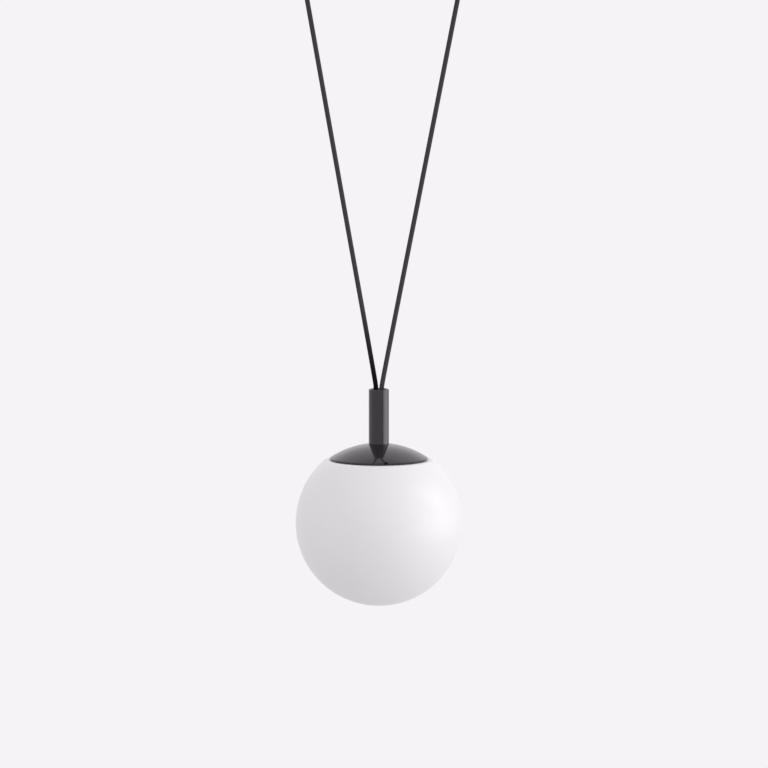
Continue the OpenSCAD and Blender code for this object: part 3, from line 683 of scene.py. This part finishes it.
def makeBraid():
    mat, tree, shader = newMaterial("charcoalTextile")
    setInputs(shader, {"Specular IOR Level": 0.12})
    height, shade, flat = (addNode(tree, "ShaderNodeAttribute", attribute_name=name)
                           for name in ("braid", "shade", "unrolled"))
    threads = addNode(tree, "ShaderNodeTexWave", {"Scale": 900.0, "Distortion": 1.5, "Detail": 2.0},
                      bands_direction="DIAGONAL")
    fuzz = addNode(tree, "ShaderNodeTexNoise", {"Scale": 2500.0, "Detail": 4.0})
    weigh = addNode(tree, "ShaderNodeMath", {1: 0.75}, operation="MULTIPLY")
    blend = addNode(tree, "ShaderNodeMath", {1: 0.25}, operation="MULTIPLY_ADD")
    yarn = addNode(tree, "ShaderNodeMix", {"A": (*cordSet["yarnDark"], 1), "B": (*cordSet["yarnLight"], 1)},
                   data_type="RGBA")
    dim = addNode(tree, "ShaderNodeMix", {"B": (*cordSet["yarnPaintedShade"], 1)}, data_type="RGBA")
    rough = addNode(tree, "ShaderNodeMapRange", {"To Min": 0.7, "To Max": 0.9})
    bump = addNode(tree, "ShaderNodeBump", {"Strength": 0.2, "Distance": 0.0002})
    wire(flat, "Vector", threads, "Vector")
    wire(flat, "Vector", fuzz, "Vector")
    # yarn tone: three quarters from the braid's height, so the dips between crossing yarns are darker as
    # painted shade and the crowns lighter, one quarter from a fine thread pattern
    wire(height, "Fac", weigh, 0)
    wire(threads, "Fac", blend, 0)
    wire(weigh, 0, blend, 2)
    wire(blend, 0, yarn, "Factor")
    # painted shade: the yarn colour is mixed towards near black by the stored share
    wire(shade, "Fac", dim, "Factor")
    wire(yarn, "Result", dim, "A")
    wire(dim, "Result", shader, "Base Color")
    wire(fuzz, "Fac", rough, "Value")
    wire(rough, "Result", shader, "Roughness")
    wire(threads, "Fac", bump, "Height")
    wire(bump, "Normal", shader, "Normal")
    return mat


textile = makeBraid()
noPaintedShade = (-2.0, -3.0)  # a fade that starts below the whole lamp


def sweptCord(name, line, diameter, mat, relief=0.0, shade=noPaintedShade):
    mesh = bpy.data.meshes.new(name)
    mesh.from_pydata(line.tolist(), [(k, k + 1) for k in range(len(line) - 1)], [])
    cord = addObject(name, mesh)
    useTree(cord, sleeve, {"Radius": diameter / 2, "Around": cordSet["around"],
                           "Carriers": float(cordSet["carriers"]), "Relief": relief,
                           "Shade Start": shade[0], "Shade End": shade[1],
                           "Shade Curve": cordSet["paintedShadeCurve"], "Finish": mat})
    smoothFaces(cord.data, angle=60)
    return cord


# only the left cord gets the painted shade, darker towards the stem
for side, label, shade in (("left", "cordLeft", cordSet["shade"]), ("right", "cordRight", noPaintedShade)):
    line = smoothRoute(cordSet[side], cordSet["step"])
    cord = sweptCord(label, line, cordSet["diameter"], textile, cordSet["relief"], shade)
    long = float(np.linalg.norm(np.diff(line, axis=0), axis=1).sum())
    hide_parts("cord_" + side)
    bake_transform(cord)
    print("cord", label, "length", round(long, 4))

for side, sign in (("left", -1), ("right", 1)):
    line = smoothRoute([(sign * x, z) for x, z in cordSet["inner"]], cordSet["step"])
    end = sweptCord("cordEnd" + side.capitalize(), line, cordSet["diameter"], textile, cordSet["relief"])
    setPiece(end, "ceiling", "inner_cord_" + side, "textile")
print("cord ends made")

# wires from the grip down to the lampholder's terminals
leadSet = {
    "diameter": 2.2 * mm, "step": 0.8 * mm,
    "route": [(3.5, 45.7), (3.5, 34), (1.5, 13.5), (1.5, -20.151), (4.5, -23.151), (9, -25.951),
              (9, -27.451)],
    "sides": {"left": (-1, "brownWire", "brown_wire"), "right": (1, "blueWire", "blue_wire")},
}
for side, (sign, mat, slotName) in leadSet["sides"].items():
    line = smoothRoute([(headX + sign * x, seatZ + z) for x, z in leadSet["route"]], leadSet["step"])
    lead = sweptCord("lead" + side.capitalize(), line, leadSet["diameter"], finish[mat])
    setPiece(lead, "head", "lead_" + side, slotName)
print("wires made")


# turned pieces
stemSet = {"radius": 12.2, "length": 66, "inner": 10.2, "foot": 12, "bore": 5.1, "bevel": 0.5, "edge": 0.2,
           "rows": (0.5, 2, 30, 50, 62, 64.5, 65.2), "around": 160, "screwHeight": 56, "screwHole": 4.2,
           "drillDepth": 30}


def makeStem():
    s = stemSet
    b, e = s["bevel"], s["edge"]
    section = [(s["bore"], 0), (s["radius"] - e, 0), (s["radius"], e)]
    section += [(s["radius"], z) for z in s["rows"]]
    section += arcPoints(s["radius"] - b, s["length"] - b, b, 0, 90, steps=6)
    section += [(s["inner"] + e, s["length"]), (s["inner"], s["length"] - e),
                (s["inner"], s["foot"]), (s["bore"], s["foot"])]
    obj = spinSection("stemTube", section, "charcoalLacquer", s["around"])
    start = (headAxis[0], 0, headAxis[2] + s["screwHeight"] * mm)
    drill(obj, [(start, (0, 1, 0), s["screwHole"] * mm, s["screwHole"] * mm, s["drillDepth"] * mm)])
    setPiece(obj, "head", "stem", "lacquer")


capSet = {"radius": 59, "rise": 17.8, "lip": 2.2, "lean": 0.3, "sheet": 1.5, "seat": 13, "bore": 5.1,
          "edge": 0.35, "bend": [(0.02, 0.1), (0.1, 0.5)], "footBend": 0.1, "rows": (60, 40), "around": 256,
          "screwLevel": -16.905, "screwTurn": 8.5, "screwReach": 55.85, "slot": (5, 2.9), "drillFrom": 42,
          "drillDepth": 30}


def neckTurns():
    # the directions of the three screws that hold the globe's neck
    turns = [math.radians(-90 + capSet["screwTurn"] + 120 * k) for k in range(3)]
    return [(math.cos(a), math.sin(a), 0) for a in turns]


def makeCap():
    s = capSet
    domeR = (s["radius"] ** 2 + s["rise"] ** 2) / (2 * s["rise"])
    sag = domeR - math.sqrt(domeR ** 2 - s["seat"] ** 2)
    domeC = sag - domeR
    lipTop = sag - s["rise"]
    lipBottom = lipTop - s["lip"]
    e = s["edge"]
    outerRows, innerRows = s["rows"]
    outer = [(r, domeC + math.sqrt(domeR ** 2 - r * r)) for r in
             np.linspace(s["seat"], s["radius"] - e, outerRows)]
    inR = domeR - s["sheet"]
    inner = [(r, domeC + math.sqrt(inR ** 2 - r * r)) for r in
             np.linspace(s["radius"] - s["sheet"], s["seat"], innerRows)]
    foot = s["radius"] - s["lean"]
    section = [(s["bore"], 0)] + outer + [(s["radius"] - inset, lipTop - drop) for inset, drop in s["bend"]]
    section += [(foot + s["footBend"], lipBottom + e), (foot - e, lipBottom), (foot - s["sheet"], lipBottom)]
    section += inner + [(s["bore"], -s["sheet"])]
    obj = spinSection("domeCap", section, "charcoalLacquer", s["around"])
    holes = []
    for aim in neckTurns():
        start = (headAxis[0] + aim[0] * s["drillFrom"] * mm, aim[1] * s["drillFrom"] * mm,
                 headAxis[2] + s["screwLevel"] * mm)
        holes.append((start, aim, s["slot"][0] * mm, s["slot"][1] * mm, s["drillDepth"] * mm))
    drill(obj, holes)
    setPiece(obj, "head", "cap", "lacquer")


globeSet = {"radius": 100, "wall": 3, "centre": -95.498, "shoulder": -19.505, "fillet": 6, "neck": 42,
            "neckTop": -13.651, "neckRoot": (1.2, 0.35), "around": 192}


def makeGlobe():
    s = globeSet
    top = s["shoulder"] - s["centre"]
    fz = top - s["fillet"]
    fx = math.sqrt((s["radius"] - s["fillet"]) ** 2 - fz * fz)
    start = math.degrees(math.asin(fz / (s["radius"] - s["fillet"])))
    neckTop = s["neckTop"] - s["centre"]
    w = s["wall"]
    lip = w / 2
    section = arcPoints(0, 0, s["radius"], -90, start, steps=110)
    section += arcPoints(fx, fz, s["fillet"], start, 90, steps=10)[1:]
    root, middle = s["neckRoot"]
    section += [(s["neck"] + root, top), (s["neck"] + middle, top + middle), (s["neck"], top + root)]
    section += arcPoints(s["neck"] - lip, neckTop - lip, lip, 0, 180, steps=10)
    section += [(s["neck"] - w, top - w)]
    section += arcPoints(fx, fz, s["fillet"] - w, 90, start, steps=8)
    section += arcPoints(0, 0, s["radius"] - w, start, -90, steps=90)[1:]
    centre = (headAxis[0], 0, headAxis[2] + s["centre"] * mm)
    obj = spinSection("opalGlobe", section, "satinOpal", s["around"], centre, closed=False)
    setPiece(obj, "globe", "globe", "opal_glass")


canopySet = {"radius": 26, "run": 94, "height": 25, "sheet": 1.5, "fillet": 5, "edge": 0.2, "row": 1,
             "around": 126, "glandHole": 16.2, "glandDrill": (3, 8), "screwHole": 4.4, "screwLevel": -10,
             "screwDrill": (110, 20)}


def makeCanopy():
    # the section is led round the canopy's outline, from the bottom's middle out and back inside
    s = canopySet
    r, t, f, low, e, row = s["radius"], s["sheet"], s["fillet"], -s["height"], s["edge"], s["row"]
    section = [(0, low), (r - f - row, low)] + arcPoints(r - f, low + f, f, -90, 0, steps=10)
    section += [(r, low + f + row), (r, -row), (r, -e), (r - e, 0), (r - t + e, 0), (r - t, -e)]
    section += [(r - t, low + f + row)] + arcPoints(r - f, low + f, f - t, 0, -90, steps=8)
    section += [(r - f - row, low + t), (0, low + t)]
    obj = spinSection("canopyShell", section, "charcoalLacquer", s["around"], (0, 0, 0), closed=False,
                      pathRadius=r * mm, run=s["run"] * mm)
    below, glandDepth = s["glandDrill"]
    out, screwDepth = s["screwDrill"]
    holes = []
    for sign in (-1, 1):
        holes.append(((sign * s["run"] * mm, 0, (low - below) * mm), (0, 0, 1), s["glandHole"] * mm,
                      s["glandHole"] * mm, glandDepth * mm))
        holes.append(((sign * out * mm, 0, s["screwLevel"] * mm), (sign, 0, 0), s["screwHole"] * mm,
                      s["screwHole"] * mm, screwDepth * mm))
    drill(obj, holes)
    setPiece(obj, "ceiling", "canopy", "lacquer")


# lampholder, bulb and fixings: corners as distance from the axis, height, rounding
spun = {
    "nipple": {"finish": "zincPlate", "slot": "zinc_steel", "around": 96,
               "corners": [(3.6, 10, 0.3), (5, 10, 0.5), (5, -20.151, 0.5), (3.6, -20.151, 0.3)],
               "relief": {"pitch": 1.0, "depth": 0.45, "low": -19.7, "high": 9.5, "core": 4.4}},
    "spacer": {"finish": "zincPlate", "slot": "zinc_steel",
               "corners": [(5.1, -4.5, 0.3), (8, -4.5, 0.4), (8, -7, 0.2), (7.6, -7.3, 0.2), (7.6, -8, 0.2),
                           (8, -8.3, 0.2), (8, -10.65, 0.4), (5.1, -10.65, 0.3)]},
    "gasket": {"finish": "silicone", "slot": "silicone", "around": 192,
               "corners": [(39, -12.151, 0.3), (42, -12.151, 0.3), (42, -13.351, 0.5), (39, -13.351, 0.5)]},
    "holder_cap": {"finish": "phenolic", "slot": "black_bakelite", "around": 288,
                   "corners": [(5.1, -12.151, 0.3), (8.5, -12.151, 0.5), (8.5, -18.151, 1.0),
                               (20, -25.151, 2.5), (20, -32.151, 0.4), (18, -32.151, 0.3),
                               (18, -25.151, 1.0), (8.5, -20.151, 0.8), (5.1, -20.151, 0.3)]},
    "holder_body": {"finish": "phenolic", "slot": "black_bakelite", "around": 288,
                    "corners": [(16.1, -32.151, 0.3), (20, -32.151, 0.6), (20, -38.151, 0.6),
                                (18.5, -38.151, 0.5), (18.5, -57, 0.2), (18.1, -57.4, 0.2), (18.1, -58, 0.2),
                                (18.5, -58.4, 0.2), (18.5, -62.151, 1.0), (14.6, -62.151, 0.8),
                                (14.6, -40.151, 0.2), (16.1, -40.151, 0.2)],
                    "relief": {"ribs": 36, "depth": 0.45, "low": -37.3, "high": -33, "core": 19.5,
                               "step": 0.4}},
    "holder_insert": {"finish": "steatite", "slot": "steatite",
                      "corners": [(0, -40.151, 0), (15, -40.151, 0.4), (16, -39, 0.4), (16, -35, 0.2),
                                  (15.4, -34.6, 0.2), (15.4, -33.6, 0.2), (16, -33.2, 0.2),
                                  (15.5, -32.451, 0.3), (0, -32.451, 0)]},
    "holder_shell": {"finish": "plainBrass", "slot": "brass",
                     "corners": [(13.95, -40.151, 0.1), (14.3, -40.151, 0.1), (14.3, -59.151, 0.1),
                                 (13.95, -59.151, 0.1)],
                     "relief": {"pitch": 3.62, "depth": 0.25, "low": -58.5, "high": -40.8, "core": 10}},
    "holder_contact": {"finish": "plainBrass", "slot": "brass",
                       "corners": [(0, -41.651, 0), (2.4, -41.651, 0.6), (4, -40.7, 0.4), (4, -40.151, 0.1),
                                   (0, -40.151, 0)]},
    "bulb_cap": {"finish": "nickel", "slot": "bulb_metal",
                 "corners": [(0, -66.151, 0), (13.2, -66.151, 0.4), (13.2, -46, 2.0), (10.5, -43.6, 0.8),
                             (5, -43.151, 0.3), (4.6, -42.1, 0.6), (2.2, -41.651, 0.6), (0, -41.651, 0)],
                 "relief": {"pitch": 3.62, "depth": 1.1, "low": -64.6, "high": -47.2, "core": 12}},
    "bulb_collar": {"finish": "whiteNylon", "slot": "white_plastic",
                    "corners": [(0, -78.151, 0), (17, -78.151, 0.4), (16.4, -76.2, 0.3), (16.1, -75.8, 0.3),
                                (13.2, -66.151, 0.5), (0, -66.151, 0)]},
}


def makeSpun(node, spec):
    cut = spec.get("relief")
    section = roundCorners(spec["corners"])
    if cut:
        step = cut.get("step", cut.get("pitch", 1) / rowsPerPitch)
        heights = [z for r, z in section]
        section = fineRows(section, step, min(heights), max(heights), cut["core"])
    solid = spec["corners"][0][0] == 0
    obj = spinSection(camelName(node), section, spec["finish"], spec.get("around", 128), closed=not solid)
    if cut:
        cutRelief(obj, cut)
    setPiece(obj, "head", node, spec["slot"])


bulbSet = {"radius": 30, "centre": -116.651, "neck": 17, "top": -78.151, "wall": 1, "tangent": 22}


def makeBulb():
    s = bulbSet
    inner = s["radius"] - s["wall"]
    section = arcPoints(0, s["centre"], s["radius"], -90, s["tangent"], steps=56)
    section += [(s["neck"], s["top"]), (s["neck"] - s["wall"], s["top"])]
    section += arcPoints(0, s["centre"], inner, s["tangent"], -90, steps=48)
    obj = spinSection("bulbGlass", section, "bulbDiffuser", 128, closed=False)
    setPiece(obj, "head", "bulb_glass", "bulb_diffuser")


makeCanopy()
makeStem()
makeCap()
makeGlobe()
for node, spec in spun.items():
    makeSpun(node, spec)
makeBulb()
print("turned pieces made")


# screws, in millimetres: head, shaft, a slot or a socket to turn them by, then each seat and its aim
def canopyScrews():
    reach = canopySet["run"] + canopySet["radius"]
    return [((sign * reach, 0, canopySet["screwLevel"]), (sign, 0, 0)) for sign in (-1, 1)]


def neckScrews():
    reach, level = capSet["screwReach"], seatZ + capSet["screwLevel"]
    return [((headX + reach * aim[0], reach * aim[1], level), aim) for aim in neckTurns()]


threadShare = 0.55  # a thread's depth as a share of its pitch
screwSets = {
    "canopy_screws": {"body": "ceiling", "finish": "charcoalLacquer", "slot": "lacquer", "edge": 0.5,
                      "head": (3.8, 2.4), "shaft": (2, 8.5), "pitch": 0.7, "drive": (1, 0.8),
                      "places": canopyScrews()},
    "block_screws": {"body": "ceiling", "finish": "zincPlate", "slot": "zinc_steel", "edge": 0.4,
                     "head": (2.7, 1.8), "shaft": (1.5, 13.8), "pitch": 0.5, "drive": (1, 0.8),
                     "places": [((0, y, -14), (0, 0, -1)) for y in (-5, 5)]},
    "terminal_screws": {"body": "ceiling", "finish": "plainBrass", "slot": "brass", "edge": 0.15,
                        "head": (2, 2.0), "shaft": (1.4, 0.5), "pitch": 0.5, "drive": (1, 0.8),
                        "places": [((x, y, -9.5), (0, 0, -1)) for x in (-9, 9) for y in (-4.5, 4.5)]},
    "grip_screw": {"body": "head", "finish": "zincPlate", "slot": "zinc_steel", "edge": 0.15, "socket": True,
                   "head": (2, 2.4), "shaft": (2, 2.5), "pitch": 0.7, "drive": (2, 2),
                   "places": [((headX, 9.6, seatZ + stemSet["screwHeight"]), (0, 1, 0))]},
    "gallery_screws": {"body": "head", "finish": "blackSteel", "slot": "black_steel", "edge": 0.1,
                       "socket": True, "head": (1.25, 2), "shaft": (1.25, 13.55), "pitch": 0.45,
                       "drive": (1.25, 1.25), "places": neckScrews()},
    "holder_terminals": {"body": "head", "finish": "plainBrass", "slot": "brass", "edge": 0.2,
                         "head": (2.5, 2), "shaft": (1.8, 3), "pitch": 0.7, "drive": (0.8, 0.8),
                         "places": [((headX + x, 0, seatZ - 29.451), (0, 0, 1)) for x in (-9, 9)]},
}


def placeScrews(node, spec):
    mesh = bpy.data.meshes.new(camelName(node))
    mesh.from_pydata([tuple(c * mm for c in point) for point, aim in spec["places"]], [], [])
    aims = mesh.attributes.new("aim", "FLOAT_VECTOR", "POINT")
    for k, (point, aim) in enumerate(spec["places"]):
        aims.data[k].vector = aim
    obj = addObject(mesh.name, mesh)
    useTree(obj, screws, {
        "Head Radius": spec["head"][0] * mm, "Head Height": spec["head"][1] * mm,
        "Shaft Radius": spec["shaft"][0] * mm, "Shaft Length": spec["shaft"][1] * mm,
        "Pitch": spec["pitch"] * mm, "Thread Depth": spec["pitch"] * threadShare * mm,
        "Drive Width": spec["drive"][0] * mm, "Drive Depth": spec["drive"][1] * mm,
        "Socket": spec.get("socket", False), "Finish": finish[spec["finish"]]})
    softenEdges(obj, spec["edge"], segments=3, angle=70)
    smoothFaces(obj.data, angle=40)
    setPiece(obj, spec["body"], node, spec["slot"])


for node, spec in screwSets.items():
    placeScrews(node, spec)
print("screws placed:", len(screwSets))


# the other pieces: the solids' own shapes with smooth faces and softened edges
dressed = {
    # node: body, finish, record slot, edge softening in millimetres
    "ceiling_bracket": ("ceiling", "zincPlate", "zinc_steel", 0.25),
    "gland_nuts": ("ceiling", "blackNylon", "black_plastic", 0.3),
    "terminal_block": ("ceiling", "whiteNylon", "white_plastic", 0.3),
    "cord_grip": ("head", "blackNylon", "black_plastic", 0.0),
    "cap_nut": ("head", "zincPlate", "zinc_steel", 0.25),
    "gallery": ("head", "zincPlate", "zinc_steel", 0.0),
}
flatAngle = 0.3  # degrees; faces that meet at less count as one


def dressNode(node, body, mat, slotName, edge):
    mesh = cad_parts[node].data.copy()
    bm = bmesh.new()
    bm.from_mesh(mesh)
    bmesh.ops.remove_doubles(bm, verts=bm.verts, dist=weldGap)
    if edge:
        bmesh.ops.dissolve_limit(bm, angle_limit=math.radians(flatAngle), verts=bm.verts, edges=bm.edges)
    bm.to_mesh(mesh)
    bm.free()
    for name in ("custom_normal", "sharp_face"):
        if name in mesh.attributes:
            mesh.attributes.remove(mesh.attributes[name])
    mesh.materials.clear()
    mesh.materials.append(mat)
    obj = addObject(camelName(node), mesh)
    if edge:
        softenEdges(obj, edge, segments=2, angle=35)
    smoothFaces(obj.data, angle=32)
    setPiece(obj, body, node, slotName)


for node, (body, mat, slotName, edge) in dressed.items():
    dressNode(node, body, finish[mat], slotName, edge)
print("pieces dressed:", len(dressed))


# studio: pale backdrop, soft panels on the right and behind, pale floor well below
studio = {
    "background": (0.922, 0.896, 0.922), "fillBase": 0.696, "fillTurn": (0, -0.096, 0.133),
    "glossBase": 0.92, "glossTurn": (-0.06, 0.06, 0.08),
    "lightColor": (1, 0.985, 1, 1), "panelAim": (headAxis[0], 0, -0.60),
    "panels": {
        # each panel: azimuth and elevation seen from the lamp
        "rightPanel": {"from": (85, -4.5), "distance": 1.9, "size": (2.2, 0.5), "level": 2.53},
        "keyPanel": {"from": (58, 12), "distance": 1.9, "size": (0.6, 0.67), "level": 1.25},
        "highPanel": {"from": (76, 33), "distance": 1.9, "size": (0.6, 0.67), "level": 2.55},
        "backPanel": {"from": (180, 40), "distance": 2.2, "size": (3.0, 2.0), "level": 0.22},
        "shinePanel": {"from": (96, 20), "distance": 1.9, "size": (0.44, 0.56), "level": 6.8,
                       "glossOnly": True},
    },
    "floor": (headAxis[0], 0, -1.35), "floorRadius": 1.4, "floorFade": 0.5, "floorLift": 0.25,
    "floorDark": (0.7252, 0.7105, 0.7252, 1), "floorLight": (0.74, 0.725, 0.74, 1),
}


def leaningTone(tree, coords, base, turn):
    # a level that rises towards one side of the room
    lean = addNode(tree, "ShaderNodeVectorMath", {1: turn}, operation="DOT_PRODUCT")
    tone = addNode(tree, "ShaderNodeMath", {1: base}, operation="ADD", use_clamp=True)
    wire(coords, "Generated", lean, 0)
    wire(lean, "Value", tone, 0)
    return tone


def setWorld():
    world = bpy.data.worlds.new("studio")
    scene.world = world
    world.use_nodes = True
    tree = world.node_tree
    tree.nodes.clear()
    out = addNode(tree, "ShaderNodeOutputWorld")
    coords = addNode(tree, "ShaderNodeTexCoord")
    fill = addNode(tree, "ShaderNodeBackground", {"Color": studio["lightColor"]})
    wire(leaningTone(tree, coords, studio["fillBase"], studio["fillTurn"]), 0, fill, "Strength")
    mirror = addNode(tree, "ShaderNodeBackground", {"Color": studio["lightColor"]})
    wire(leaningTone(tree, coords, studio["glossBase"], studio["glossTurn"]), 0, mirror, "Strength")
    seen = addNode(tree, "ShaderNodeBackground", {"Color": (*studio["background"], 1), "Strength": 1.0})
    path = addNode(tree, "ShaderNodeLightPath")
    either = addNode(tree, "ShaderNodeMath", operation="MAXIMUM")
    wire(path, "Is Glossy Ray", either, 0)
    wire(path, "Is Transmission Ray", either, 1)
    first = addNode(tree, "ShaderNodeMixShader")
    wire(either, 0, first, 0)
    wire(fill, 0, first, 1)
    wire(mirror, 0, first, 2)
    second = addNode(tree, "ShaderNodeMixShader")
    wire(path, "Is Camera Ray", second, 0)
    wire(first, 0, second, 1)
    wire(seen, 0, second, 2)
    wire(second, 0, out, "Surface")


def addPanel(name, spec):
    a, e = (math.radians(angle) for angle in spec["from"])
    away = Vector((math.sin(a) * math.cos(e), -math.cos(a) * math.cos(e), math.sin(e)))
    data = bpy.data.lights.new(name, "AREA")
    data.shape = "RECTANGLE"
    data.size, data.size_y = spec["size"]
    data.energy = spec["level"] * math.pi * data.size * data.size_y
    lamp = bpy.data.objects.new(name, data)
    lamp.location = Vector(studio["panelAim"]) + away * spec["distance"]
    lamp.rotation_euler = away.to_track_quat("Z", "Y").to_euler()
    lamp.visible_diffuse = not spec.get("glossOnly", False)
    scene.collection.objects.link(lamp)


def addFloor():
    # a pale disc that fades out at its rim, shows the background's tone and keeps the shadow
    mesh = bpy.data.meshes.new("floor")
    bm = bmesh.new()
    bmesh.ops.create_circle(bm, cap_ends=True, segments=96, radius=studio["floorRadius"])
    bmesh.ops.translate(bm, verts=bm.verts, vec=studio["floor"])
    bm.to_mesh(mesh)
    bm.free()
    floor = addObject("floor", mesh)
    mat, tree, shader = newMaterial("paleFloor")
    setInputs(shader, {"Roughness": 0.9, "Specular IOR Level": 0.1})
    coords = addNode(tree, "ShaderNodeTexCoord")
    noise = addNode(tree, "ShaderNodeTexNoise", {"Scale": 3.0, "Detail": 3.0})
    tone = addNode(tree, "ShaderNodeMix", {"A": studio["floorDark"], "B": studio["floorLight"]},
                   data_type="RGBA")
    wire(coords, "Object", noise, "Vector")
    wire(noise, "Fac", tone, "Factor")
    wire(tone, "Result", shader, "Base Color")
    glow = addNode(tree, "ShaderNodeEmission", {"Color": (*studio["background"], 1),
                                                "Strength": studio["floorLift"]})
    lifted = addNode(tree, "ShaderNodeAddShader")
    wire(shader, 0, lifted, 0)
    wire(glow, 0, lifted, 1)
    path = addNode(tree, "ShaderNodeLightPath")
    seen = addNode(tree, "ShaderNodeMixShader")
    wire(path, "Is Camera Ray", seen, 0)
    wire(shader, 0, seen, 1)
    wire(lifted, 0, seen, 2)
    middle = addNode(tree, "ShaderNodeVectorMath", {1: studio["floor"]}, operation="DISTANCE")
    wire(coords, "Object", middle, 0)
    fade = addNode(tree, "ShaderNodeMapRange", {"From Min": studio["floorFade"],
                                                "From Max": studio["floorRadius"]},
                   interpolation_type="SMOOTHSTEP")
    wire(middle, "Value", fade, "Value")
    side = addNode(tree, "ShaderNodeNewGeometry")
    hidden = addNode(tree, "ShaderNodeMath", operation="MAXIMUM")
    wire(fade, "Result", hidden, 0)
    wire(side, "Backfacing", hidden, 1)
    clear = addNode(tree, "ShaderNodeBsdfTransparent")
    both = addNode(tree, "ShaderNodeMixShader")
    wire(hidden, 0, both, 0)
    wire(seen, 0, both, 1)
    wire(clear, 0, both, 2)
    wire(both, 0, tree.nodes["Material Output"], "Surface")
    mesh.materials.append(mat)


setWorld()
for name, spec in studio["panels"].items():
    addPanel(name, spec)
addFloor()
print("studio set")
